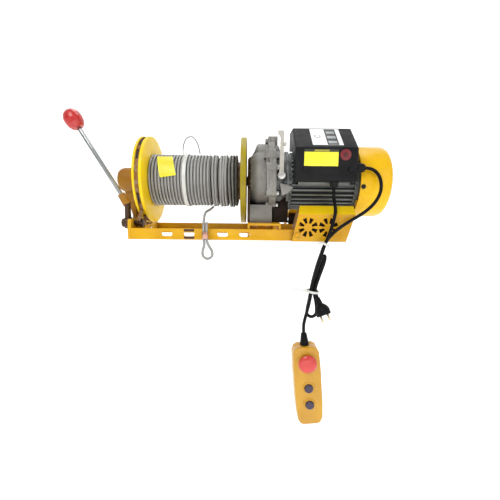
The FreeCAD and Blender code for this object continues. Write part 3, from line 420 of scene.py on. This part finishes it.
def plastic(name, col_a, col_b, rough=0.45, grain=1400.0, depth=0.00008, coat=0.0, sub=0.0):
    t = NT(name)
    big = t.noise(22.0, 4, 0.6)
    col = t.mix(t.remap(big, 0, 1, 0.35, 0.65), col_a, col_b)
    dark = max(col_a) < 0.07
    wear = t.math("MULTIPLY", t.edge(0.52, 0.60), 0.35)
    col = t.mix(wear, col, tuple(min(1.0, c * 1.5 + (0.008 if dark else 0.03)) for c in col_a))
    dust = t.remap(t.noise(130.0, 5, 0.7), 0, 1, 0.60, 0.78)
    col = t.mix(t.math("MULTIPLY", dust, 0.015 if dark else 0.10), col, (0.45, 0.42, 0.38))
    t.set("Base Color", col)
    t.set("Roughness", t.remap(t.noise(60.0, 3, 0.6), rough - 0.06, rough + 0.12, 0.3, 0.7))
    if coat:
        t.set("Coat Weight", coat)
        t.set("Coat Roughness", 0.15)
    if sub:
        t.set("Subsurface Weight", sub)
        t.b.inputs["Subsurface Radius"].default_value = (0.004, 0.003, 0.002)
    g = t.noise(grain, 2, 0.5)
    t.bump(g, depth, 0.5)
    return t.m


def rope_mat(name, light, dark, lay=0.032, strands=6.0, wires=34.0):
    """Galvanised wires laid across each strand, with painted shade darkening the grooves between strands and a painted
    highlight on each wire's crest; u runs along the rope, v round it.
    """
    t = NT(name)
    uvn = t.n.new("ShaderNodeTexCoord")
    sep = t.n.new("ShaderNodeSeparateXYZ")
    t.l.new(uvn.outputs["UV"], sep.inputs[0])
    a = t.math("MULTIPLY", sep.outputs[0], 900.0)
    b = t.math("MULTIPLY", sep.outputs[1], 6.2832 * wires)
    w = t.math("SINE", t.math("ADD", a, b))
    v6 = t.math("COSINE", t.math("MULTIPLY", sep.outputs[1], 6.2832 * strands))
    groove = t.remap(v6, 1.0, 0.0, -1.0, -0.2)
    big = t.noise(26.0, 4, 0.6)
    col = t.mix(t.remap(big, 0, 1, 0.3, 0.7), light, dark)
    # painted shade: darker toward the grooves between strands
    col = t.mix(t.math("MULTIPLY", groove, 0.8), col, tuple(c * 0.35 for c in dark))
    # painted highlight: each wire's crest is lightened
    col = t.mix(t.remap(w, 0.0, 0.25, 0.0, 1.0), col, tuple(min(1.0, c * 1.3) for c in light))
    t.set("Base Color", col)
    t.set("Metallic", 0.75)
    t.set("Roughness", t.remap(t.noise(200.0, 3, 0.6), 0.36, 0.55, 0.3, 0.7))
    t.bump(w, 0.00012, 0.6)
    return t.m


M = {}
M["yellow"] = paint("drum_yellow", (0.90, 0.62, 0.004), (0.80, 0.51, 0.004), rough=0.38, grime_and_shade=0.55)
M["gold"] = paint("base_yellow", (0.68, 0.37, 0.004), (0.56, 0.27, 0.004), rough=0.36, grime_and_shade=0.85, wear_amt=0.2)
M["cowl"] = paint("cowl_yellow", (0.80, 0.48, 0.004), (0.68, 0.37, 0.004), rough=0.27, grime_and_shade=0.25, wear_amt=0.0)
# painted shade: an olive, darker copy of the drum yellow for the right flange, which stands edge-on in shade
M["olive"] = paint("flange_yellow_painted_shade", (0.36, 0.28, 0.004), (0.25, 0.18, 0.004), rough=0.38, grime_and_shade=0.9, wear_amt=0.2)
# painted shade: the yellow-painted brake band as it looks in shade, brown
M["brown"] = paint("band_yellow_painted_shade", (0.24, 0.10, 0.015), (0.15, 0.055, 0.010), dirt_and_shade=(0.03, 0.015, 0.008), rough=0.5, grime_and_shade=1.0)
# painted shade: a dark copy of the base yellow for the bearing bracket, the lever arm's clamp and the pedestal's left
# side
M["shaded_gold"] = paint("bracket_gold_painted_shade", (0.36, 0.165, 0.010), (0.26, 0.11, 0.009), dirt_and_shade=(0.05, 0.02, 0.008), rough=0.4, grime_and_shade=1.0)
M["alu"] = cast_metal("cast_aluminium", (0.235, 0.228, 0.205), (0.145, 0.14, 0.125), metallic=0.35)
M["lever_alu"] = cast_metal("lever_alloy", (0.50, 0.47, 0.42), (0.36, 0.34, 0.30))
M["shade"] = plastic("shaded_inside", (0.012, 0.008, 0.005), (0.02, 0.012, 0.008), rough=0.8)
M["motor"] = cast_metal("motor_grey", (0.145, 0.155, 0.15), (0.07, 0.076, 0.072), metallic=0.35, rough=0.36, grain=800, depth=0.00012)
M["black"] = plastic("box_black", (0.010, 0.010, 0.011), (0.018, 0.018, 0.019), rough=0.42)
M["steel"] = steel("zinc_steel", (0.66, 0.65, 0.62), (0.48, 0.47, 0.45))
M["rod"] = steel("lever_rod_steel", (0.42, 0.43, 0.43), (0.26, 0.27, 0.27), rough=0.28)
M["dark"] = cast_metal("dark_steel", (0.085, 0.05, 0.03), (0.04, 0.022, 0.015), metallic=0.7, rough=0.42, grain=700, depth=0.00015)
M["gear"] = steel("gear_steel", (0.30, 0.29, 0.27), (0.18, 0.17, 0.16), rough=0.32)
M["lam"] = steel("laminations", (0.34, 0.34, 0.35), (0.22, 0.22, 0.23), rough=0.4, axis=(400, 1, 1))
M["red"] = plastic("knob_red", (0.50, 0.022, 0.018), (0.40, 0.014, 0.012), rough=0.30, grain=500, coat=0.35, sub=0.05)
M["estop"] = plastic("stop_red", (0.62, 0.040, 0.032), (0.52, 0.026, 0.022), rough=0.30, grain=700, coat=0.4, sub=0.05)
M["handset"] = plastic("handset_yellow", (0.60, 0.31, 0.010), (0.50, 0.25, 0.008), rough=0.38, grain=1200, coat=0.2, sub=0.03)
M["button"] = plastic("button_dark", (0.035, 0.022, 0.05), (0.05, 0.035, 0.07), rough=0.35, grain=1600, coat=0.3)
M["pvc"] = plastic("cord_black", (0.004, 0.004, 0.005), (0.007, 0.007, 0.008), rough=0.40, grain=900)
M["nylon"] = plastic("nylon_white", (0.62, 0.63, 0.59), (0.52, 0.53, 0.49), rough=0.38, grain=900, sub=0.15)
M["copper"] = steel("copper", (0.62, 0.36, 0.28), (0.45, 0.25, 0.19), rough=0.34)
M["lining"] = plastic("friction_lining", (0.022, 0.014, 0.010), (0.035, 0.022, 0.014), rough=0.75, grain=700, depth=0.0002)
M["brass"] = steel("pin_brass", (0.72, 0.62, 0.42), (0.6, 0.5, 0.33), rough=0.25)
M["rope"] = rope_mat("wire_rope", (0.50, 0.50, 0.485), (0.40, 0.40, 0.385))
M["rope_dark"] = rope_mat("wire_rope_under", (0.52, 0.52, 0.50), (0.38, 0.38, 0.36))
M["label_white"] = plastic("label_white", (0.78, 0.80, 0.80), (0.72, 0.75, 0.75), rough=0.35, grain=500)
M["label_yellow"] = plastic("label_yellow", (0.80, 0.68, 0.02), (0.74, 0.62, 0.02), rough=0.35, grain=500)
M["label_dark"] = plastic("label_dark", (0.03, 0.03, 0.025), (0.05, 0.05, 0.04), rough=0.4, grain=500)
M["label_olive"] = plastic("label_olive", (0.30, 0.26, 0.02), (0.22, 0.20, 0.02), rough=0.4, grain=500)
M["label_grey"] = plastic("label_grey", (0.22, 0.24, 0.25), (0.30, 0.32, 0.33), rough=0.4, grain=500)
M["label_red"] = plastic("label_red", (0.17, 0.005, 0.009), (0.13, 0.004, 0.008), rough=0.4, grain=500)

M["strap_grey"] = plastic("strap_tail", (0.26, 0.27, 0.26), (0.20, 0.21, 0.20), rough=0.4)
M["mark_deep"] = plastic("mark_deep", (0.075, 0.004, 0.006), (0.06, 0.003, 0.005), rough=0.4)
# painted shade: darker copies of the rope for its right end, half shaded and then shaded
M["rope_mid"] = rope_mat("wire_rope_half_shaded", (0.33, 0.33, 0.31), (0.24, 0.24, 0.225))
M["rope_end"] = rope_mat("wire_rope_shaded", (0.15, 0.15, 0.14), (0.09, 0.09, 0.085))
# painted light: a bright copy of the base yellow for the pedestal's top faces, where light falls from above
M["lit_top"] = paint("pedestal_top_painted_light", (0.98, 0.68, 0.004), (0.92, 0.60, 0.004), rough=0.4, grime_and_shade=0.12, wear_amt=0.0)
M["pad"] = plastic("pad_mark", (0.045, 0.018, 0.008), (0.03, 0.012, 0.006), rough=0.6)
M["sticker"] = plastic("sticker_yellow", (0.74, 0.66, 0.02), (0.68, 0.60, 0.02), rough=0.4, grain=500)
for k, spec in (("black", 0.08), ("pvc", 0.10), ("button", 0.35), ("label_dark", 0.25), ("shade", 0.1)):
    shader = next(n for n in M[k].node_tree.nodes if n.type == "BSDF_PRINCIPLED")
    shader.inputs["Specular IOR Level"].default_value = spec

BODY = {}
for b, ns in frame["record"]["behaviour"]["bodies"].items():
    for n in ns:
        BODY[n] = b

# finish of every carried-over piece, and the radius its edges are broken by; the bearing bracket's, the right flange's
# and the brake band's colours are yellow paint with painted shade
FIN = {
    "front_rail": ("gold", 0.0004), "rear_rail": ("gold", 0.0004), "left_end_plate": ("gold", 0.0008),
    "gearbox_cross_member": ("gold", 0.0008), "motor_cradle": ("gold", 0.0008),
    "pedestal_front": ("gold", 0.0), "pedestal_rear": ("gold", 0.0), "bearing_bracket": ("shaded_gold", 0.0012),
    "drum_bearings": ("steel", 0.0003), "brake_band": ("brown", 0.0), "brake_lining": ("lining", 0.0),
    "gearbox_body": ("alu", 0.0011), "gearbox_cover": ("alu", 0.0011), "lay_bearings": ("steel", 0),
    "clutch_pin": ("steel", 0.0004), "clutch_lever": ("lever_alu", 0.0006), "motor_housing": ("motor", 0.0004),
    "stator_core": ("lam", 0), "stator_windings": ("copper", 0.002), "motor_bearings": ("steel", 0),
    "rear_bell": ("motor", 0.0006), "fan_cover": ("cowl", 0.0004), "box_base": ("black", 0.0005),
    "box_lid": ("black", 0.0005), "capacitors": ("steel", 0.0006), "power_gland": ("black", 0.0004),
    "pendant_gland": ("black", 0.0004), "hex_bolts": ("steel", 0.0004), "small_screws": ("rod", 0.0003),
    "power_plug": ("pvc", 0.0004), "cable_ties": ("nylon", 0.0002), "pendant_front": ("handset", 0.0005),
    "pendant_back": ("handset", 0.0005), "pendant_boot": ("pvc", 0.0003), "contact_block": ("black", 0.0004),
    "drum_shaft": ("steel", 0.0005), "brake_wheel": ("yellow", 0.0010), "flange_left": ("yellow", 0.0010),
    "drum_barrel": ("dark", 0), "flange_right": ("olive", 0.0010), "output_gear": ("gear", 0.0),
    "lay_pinion_shaft": ("gear", 0), "lay_gear": ("gear", 0), "rotor_shaft": ("steel", 0), "rotor_core": ("lam", 0),
    "cooling_fan": ("black", 0), "brake_lever_arm": ("dark", 0.0008), "brake_lever_rod": ("rod", 0.0004),
    "brake_lever_knob": ("red", 0.0), "brake_cam_shaft": ("dark", 0.0005), "estop_stem": ("estop", 0.0003),
    "estop_cap": ("estop", 0.0006), "up_button": ("button", 0.0004), "down_button": ("button", 0.0004),
    "rope_ferrule": ("copper", 0.0006), "rope_strap": ("nylon", 0.0003),
}
PIECE = {}
for node, (m, w) in FIN.items():
    if w:
        PIECE[node] = refine(node, BODY[node], width=w, mats=[M[m]])
    else:
        o = NODES[node]
        o.data.materials.clear()
        o.data.materials.append(M[m])
        for p in o.data.polygons:
            p.material_index = 0
        smooth_by_angle(o.data, 38)
        PIECE[node] = o



def second_material(node, mat, test):
    """Give the faces of a piece that pass the test a second material: a finish for some pieces, painted light or shade
    for others.
    """
    me = PIECE[node].data
    me.materials.append(M[mat])
    k = len(me.materials) - 1
    for p in me.polygons:
        if test(p.center, p.normal):
            p.material_index = k


PLUG_AX = Vector((0.33, -0.40, -0.855)).normalized()
PLUG_AT = Vector((0.1413, -0.1176, -0.0945)) + PLUG_AX * 0.0055
second_material("power_plug", "brass", lambda c, n: (c - PLUG_AT).dot(PLUG_AX) > 0.0331)
second_material("gearbox_cover", "motor", lambda c, n: c.x > 0.0705 and c.z < 0.176)
# painted light: the pedestal's upward-facing top faces get the bright yellow
second_material("pedestal_front", "lit_top", lambda c, n: n.z > 0.5 and c.z > 0.045)
# painted shade: the pedestal's left-facing side faces get the dark copy of the yellow
second_material("pedestal_front", "shaded_gold", lambda c, n: n.x < -0.5)
# painted shade: the gearbox body's faces next to the right flange, in the gap's shadow, get the dark steel colour
second_material("gearbox_body", "dark", lambda c, n: c.x < 0.0205)
# painted shade: the lever arm's clamp gets the dark copy of the yellow
second_material("brake_lever_arm", "shaded_gold", lambda c, n: c.z > 0.0665)
second_material("gearbox_cover", "shade", lambda c, n: c.x > 0.0655 and c.z < 0.081 and abs(c.y) < 0.0445)
second_material("rope_strap", "strap_grey", lambda c, n: c.z > 0.1695)
second_material("small_screws", "black", lambda c, n: (c.z > 0.12 and 0.11 < c.x < 0.21) or c.x > 0.22)
second_material("small_screws", "gold", lambda c, n: 0.0 < c.z < 0.06 and c.x < 0.21)

# ------------------------------------------------------------------ cords
ROPE_ROUTE = [(-58.0, 6.6, 59.95), (-58.6, -19.5, 56.8), (-59.6, -46.5, 54.1), (-61.0, -71.0, 52.7),
              (-62.4, -89.0, 49.2), (-63.2, -98.4, 38.4), (-63.4, -101.0, 24.0), (-63.4, -101.3, 2.0),
              (-61.9, -101.4, -8.0), (-65.7, -101.4, -17.5), (-65.8, -101.5, -28.8), (-56.6, -101.5, -34.3),
              (-47.4, -101.5, -28.8), (-48.0, -101.4, -18.0), (-55.4, -101.4, -8.0), (-58.2, -101.3, 3.0),
              (-58.1, -101.3, 18.8), (-57.6, -101.5, 34.0)]
POWER_ROUTE = [(231.0, -75.0, 134.7), (240.0, -75.2, 134.2), (248.6, -76.3, 130.2), (255.0, -78.5, 123.1),
               (258.4, -81.5, 113.7), (259.2, -85.0, 102.7), (257.1, -88.5, 90.9), (251.4, -92.0, 79.2),
               (242.4, -96.4, 68.5), (230.9, -101.0, 58.8), (217.5, -105.6, 50.1), (202.6, -109.2, 41.9),
               (188.1, -111.2, 33.0), (176.0, -111.4, 24.2), (166.5, -110.6, 15.3), (159.4, -109.6, 5.6),
               (153.4, -109.2, -6.5), (149.4, -109.3, -19.5), (143.9, -109.4, -37.0), (139.0, -109.4, -57.0),
               (134.8, -109.4, -77.0), (132.4, -109.4, -94.0), (130.4, -107.6, -110.0), (128.2, -105.4, -125.0),
               (128.0, -105.0, -136.2), (137.0, -104.8, -141.4), (146.0, -104.6, -136.2), (146.0, -104.6, -124.8),
               (144.4, -105.6, -112.0), (141.2, -108.2, -101.0), (138.9, -109.4, -89.0), (140.8, -109.3, -75.0),
               (145.4, -107.6, -58.0), (150.6, -103.4, -42.0), (153.6, -102.7, -28.3), (155.4, -112.6, -22.0),
               (153.6, -122.5, -28.3), (150.2, -121.6, -42.0), (146.0, -118.0, -58.0), (142.0, -116.8, -72.5),
               (139.3, -116.2, -84.0), (141.3, -117.6, -94.5), (145.59, -122.8, -105.62)]
PENDANT_ROUTE = [(175.5, -75.0, 98.0), (175.6, -75.3, 86.5), (175.2, -80.6, 76.2), (174.4, -90.6, 68.4),
                 (173.3, -101.8, 60.5), (171.2, -108.7, 50.7), (167.8, -112.4, 38.1), (163.9, -114.4, 24.3),
                 (158.9, -115.5, 10.3), (153.0, -115.8, -4.7), (148.6, -116.2, -20.5), (143.6, -116.4, -38.0),
                 (138.7, -116.3, -57.0), (133.8, -115.8, -77.0), (132.3, -115.9, -94.5), (130.1, -115.5, -109.0),
                 (126.9, -114.8, -125.0), (123.8, -113.6, -140.0), (121.6, -113.3, -152.0), (121.82, -113.0, -163.13),
                 (122.87, -113.0, -174.08)]


def strand_section(r, n=6, per=4):
    """Outline of n round strands closed on each other."""
    rs = r / (1 + 1 / math.sin(math.pi / n))      # strand radius
    rc = r - rs
    out = []
    for k in range(n):
        for j in range(per):
            f = (j + 0.5) / per - 0.5
            a = 2 * math.pi * k / n
            # ray from centre at angle offset f*(2pi/n) meets the strand circle
            b = f * 2 * math.pi / n
            rr = rc * math.cos(b) + math.sqrt(max(rs * rs - (rc * math.sin(b)) ** 2, 0.0))
            out.append((rr, a + b))
    return out


LAY = 2 * math.pi / 0.032


def rope_piece(name, line, r, body, mat, per=4, up=None):
    sec = strand_section(r, 6, per)
    o = sweep(name, line, lambda i, s: sec, mat, twist=LAY, up=up)
    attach(o, body)
    return o


def resample(line, step):
    out = [line[0].copy()]
    acc = 0.0
    for i in range(1, len(line)):
        a, b = line[i - 1], line[i]
        L = (b - a).length
        if L < 1e-9:
            continue
        t = step - acc
        while t <= L:
            out.append(a + (b - a) * (t / L))
            t += step
        acc = L - (t - step)
    if (out[-1] - line[-1]).length > step * 0.3:
        out.append(line[-1].copy())
    else:
        out[-1] = line[-1].copy()
    return out


guide, line = spline_points("rope_guide", ROPE_ROUTE, 16)
line = resample(line, 0.0012)
D.objects.remove(guide)
tail = rope_piece("rope_tail_strands", line, 0.0025, "frame", M["rope"])
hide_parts("rope_tail")


def round_cord(name, route, node, r=0.003):
    o, line = spline_points(name, route, 12)
    o.data.bevel_depth = r
    o.data.bevel_resolution = 5
    o.data.use_fill_caps = True
    o.data.materials.append(M["pvc"])
    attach(o, "frame")
    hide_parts(node)
    return o


power = round_cord("power_cord_sheath", POWER_ROUTE, "power_cord")
pend = round_cord("pendant_cable_sheath", PENDANT_ROUTE, "pendant_cable")

# ------------------------------------------------------------------ rope on the drum
R_CORE, STEP_R = 0.038, 0.0044
X_A, X_B = -0.1778, 0.0013


def turn_centres(n, seed, loose=None):
    rnd = random.Random(seed)
    pit = [1.0 + rnd.uniform(-0.05, 0.05) for _ in range(n - 1)]
    if loose:
        for k, f in loose.items():
            pit[k] = f
    tot = sum(pit)
    span = (X_B - X_A) - 0.0052
    x = X_A + 0.0026
    out = [x]
    for p in pit:
        x += p / tot * span
        out.append(x)
    return out


def winding(name, r, n, seed, steps, per, mat, loose=None, sag=None, hand=1):
    c = turn_centres(n, seed, loose)
    rnd = random.Random(seed + 5)
    jit = [rnd.uniform(-0.0003, 0.0003) for _ in range(n + 1)]
    path, ups = [], []
    for k in range((n - 1) * steps + 1):
        t = k / steps
        i = min(int(t), n - 2)
        f = t - i
        # each turn lies square to the drum and steps over in the last quarter
        g = min(max((f - 0.62) / 0.38, 0.0), 1.0)
        g = g * g * (3 - 2 * g)
        x = c[i] + (c[i + 1] - c[i]) * g
        th = 2 * math.pi * t + math.radians(35)
        rr = r + jit[i] * (1 - g) + jit[i + 1] * g
        if sag:
            w = sag.get(i, 0.0) * (1 - g) + sag.get(i + 1, 0.0) * g
            low = max(0.0, -math.sin(th))
            rr += w * low * low
            x += 0.4 * w * math.sin(th * 2 + i)
        path.append(Vector((x, rr * math.cos(th), HA + rr * math.sin(th))))
        ups.append(Vector((0, math.cos(th), math.sin(th))))

    def up(i, p, tdir):
        u = ups[i]
        return (u - tdir * u.dot(tdir)).normalized()

    o = rope_piece(name, path, 0.0025, "drum", mat, per=per, up=up)
    return o


LOOSE = {18: 1.45, 19: 0.80, 20: 1.55, 21: 0.80, 22: 0.80, 23: 1.25}
SAG = {19: 0.0012, 20: 0.0006, 21: 0.0022, 22: 0.0016, 23: 0.0008, 24: 0.0026, 25: 0.0020}
top = winding("rope_top_layer", R_CORE + 0.0025 + 2 * STEP_R, 28, 3, 110, 4, M["rope"], LOOSE, SAG)
under = winding("rope_second_layer", R_CORE + 0.0025 + STEP_R, 28, 8, 60, 2, M["rope_dark"])
under2 = winding("rope_first_layer", R_CORE + 0.0025, 28, 9, 40, 2, M["rope_dark"])
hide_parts("rope_winding")
# painted shade: the top layer darkens in two steps toward the right flange
top.data.materials.append(M["rope_mid"])
top.data.materials.append(M["rope_end"])
for p in top.data.polygons:
    if p.center.x > -0.0130:
        p.material_index = len(top.data.materials) - 1
    elif p.center.x > -0.0235:
        p.material_index = len(top.data.materials) - 2

# ------------------------------------------------------------------ labels and sticker, without lettering
YF = -0.085
SN = Vector((0, -45, 55)).normalized()


def on_slope(x, v, lift=0.0):
    """Point on the box's sloping face: v runs from 0 at its foot to 1 at its top."""
    return Vector((x, -0.085 + 0.055 * v, 0.169 + 0.045 * v)) + SN * lift


def slope_plate(name, x0, x1, v0, v1, mat, lift=0.0001, thick=0.0002):
    return plate(name, [on_slope(x0, v0), on_slope(x1, v0), on_slope(x1, v1), on_slope(x0, v1)], thick, M[mat], SN, "frame", lift)


def front_plate(name, x0, x1, z0, z1, mat, lift=0.0001, thick=0.0002):
    return plate(name, [(x0, YF, z0), (x1, YF, z0), (x1, YF, z1), (x0, YF, z1)], thick, M[mat], (0, -1, 0), "frame", lift)


def disc_plate(name, c, r, axis, mat, lift=0.0001, thick=0.0002, n=40):
    ax = Vector(axis).normalized()
    u = ax.orthogonal().normalized()
    w = ax.cross(u)
    pts = [Vector(c) + u * (r * math.cos(2 * math.pi * k / n)) + w * (r * math.sin(2 * math.pi * k / n)) for k in range(n)]
    return plate(name, pts, thick, M[mat], axis, "frame", lift)


slope_plate("rating_label", 0.133, 0.189, 0.11, 0.955, "label_white")
disc_plate("rating_emblem", on_slope(0.145, 0.55), 0.0062, SN, "label_grey", lift=0.00032)
disc_plate("rating_emblem_inner", on_slope(0.145, 0.55), 0.0040, SN, "label_white", lift=0.00050)
slope_plate("rating_block", 0.160, 0.181, 0.12, 0.93, "label_dark", lift=0.00032)
for k in range(3):
    v = 0.18 + 0.25 * k
    slope_plate("rating_row_%d" % k, 0.1625, 0.1785, v, v + 0.13, "label_grey", lift=0.00052)
front_plate("notice_label", 0.1170, 0.1785, 0.1362, 0.1610, "label_yellow")
front_plate("notice_header", 0.1170, 0.1785, 0.1612, 0.1655, "label_dark")
front_plate("notice_header_mid", 0.1350, 0.1620, 0.1617, 0.1650, "label_olive", lift=0.00032)
disc_plate("round_mark", (0.1915, YF, 0.1565), 0.0098, (0, -1, 0), "label_red")
disc_plate("round_mark_inner", (0.1915, YF, 0.1565), 0.0046, (0, -1, 0), "mark_deep", lift=0.00032)


def wrap_patch(name, corners, r, thick, mat, body, nu=14, nv=22, wave=0.0):
    """Thin film lying on the rope pack: corners give (x, angle) in order round the patch."""
    (xa, aa), (xb, ab), (xc, ac), (xd, ad) = corners
    verts, faces = [], []
    rnd = random.Random(4)
    for side in range(2):
        for i in range(nu + 1):
            for j in range(nv + 1):
                u, v = i / nu, j / nv
                x = (xa * (1 - u) + xb * u) * (1 - v) + (xd * (1 - u) + xc * u) * v
                a = (aa * (1 - u) + ab * u) * (1 - v) + (ad * (1 - u) + ac * u) * v
                rr = r + side * thick + wave * math.sin(u * 17.0 + v * 3.0) * 0.5
                th = math.radians(a)
                verts.append((x, rr * math.cos(th), HA + rr * math.sin(th)))
    K = (nu + 1) * (nv + 1)
    def q(i, j):
        return i * (nv + 1) + j
    for i in range(nu):
        for j in range(nv):
            faces.append((q(i, j), q(i, j + 1), q(i + 1, j + 1), q(i + 1, j)))
            faces.append((K + q(i, j), K + q(i + 1, j), K + q(i + 1, j + 1), K + q(i, j + 1)))
    for i in range(nu):
        faces.append((q(i, 0), q(i + 1, 0), K + q(i + 1, 0), K + q(i, 0)))
        faces.append((q(i, nv), K + q(i, nv), K + q(i + 1, nv), q(i + 1, nv)))
    for j in range(nv):
        faces.append((q(0, j), K + q(0, j), K + q(0, j + 1), q(0, j + 1)))
        faces.append((q(nu, j), q(nu, j + 1), K + q(nu, j + 1), K + q(nu, j)))
    o = mesh_obj(name, verts, faces, mat)
    bm = bmesh.new(); bm.from_mesh(o.data); bmesh.ops.recalc_face_normals(bm, faces=bm.faces)
    bm.to_mesh(o.data); bm.free()
    smooth_by_angle(o.data, 50)
    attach(o, body)
    return o


# cast gusset, rib and ear on the operator side of the gearbox
def cast_piece(name, xz, y, thick):
    return plate(name, [(x, y, z) for x, z in xz], thick, M["alu"], (0, -1, 0), "frame", 0.0, 0.0008)


cast_piece("gusset_top", [(0.0461, 0.1545), (0.0788, 0.1545), (0.0611, 0.1738)], -0.040, 0.012)
cast_piece("gusset_rib", [(0.0502, 0.1450), (0.0522, 0.0844), (0.0608, 0.0844), (0.0657, 0.1216), (0.0662, 0.1436)], -0.056, 0.0075)
cast_piece("gusset_ear", [(0.0762, 0.1068), (0.0806, 0.0827), (0.0918, 0.0884), (0.1019, 0.0988), (0.0895, 0.1042)], -0.0570, 0.0075)
# painted shade: dark sheets behind the rosettes stand in for the shade inside the pedestal
plate("vent_shade_sheet_front", [(0.1125, -0.0940, 0.006), (0.188, -0.0940, 0.006), (0.188, -0.0940, 0.046), (0.1125, -0.0940, 0.046)], 0.0004, M["shade"],
      (0, -1, 0), "frame", 0.0)
plate("vent_shade_sheet_rear", [(0.1125, 0.0940, 0.006), (0.188, 0.0940, 0.006), (0.188, 0.0940, 0.046), (0.1125, 0.0940, 0.046)], 0.0004, M["shade"],
      (0, 1, 0), "frame", 0.0)
# dark patches on the front rail above and below the second slot
for k, (z0, z1) in enumerate(((0.0020, 0.0064), (0.0156, 0.0200))):
    plate("slot_pad_%d" % k, [(-0.1018, -0.088, z0), (-0.0829, -0.088, z0), (-0.0829, -0.088, z1), (-0.1018, -0.088, z1)], 0.0002,
          M["pad"], (0, -1, 0), "frame", 0.0001)

wrap_patch("rope_sticker", [(-0.1640, 122), (-0.1340, 122), (-0.1225, 173), (-0.1535, 178)], 0.0521, 0.0002, M["sticker"], "drum", wave=0.0002)

# ------------------------------------------------------------------ stage
def cyclorama():
    pts = []
    z0 = -0.62
    prof = [(-12.0, z0), (1.2, z0)]
    for k in range(1, 13):
        a = math.radians(90.0 * k / 12)
        prof.append((1.2 + 1.0 * math.sin(a), z0 + 1.0 - 1.0 * math.cos(a)))
    prof.append((2.2, 5.0))
    verts, faces = [], []
    for x in (-16.0, 16.0):
        verts += [(x, y, z) for y, z in prof]
    n = len(prof)
    for i in range(n - 1):
        faces.append((i, i + 1, n + i + 1, n + i))
    t = NT("studio_paper")
    t.set("Base Color", t.mix(t.remap(t.noise(3.0), 0, 1, 0.3, 0.7), (0.93, 0.93, 0.93), (0.91, 0.91, 0.91)))
    t.set("Roughness", 0.9)
    t.b.inputs["Emission Color"].default_value = (1.0, 1.0, 1.0, 1.0)
    t.b.inputs["Emission Strength"].default_value = 0.55
    o = mesh_obj("studio_floor", verts, faces, t.m, smooth=True)
    return o


cyclorama()
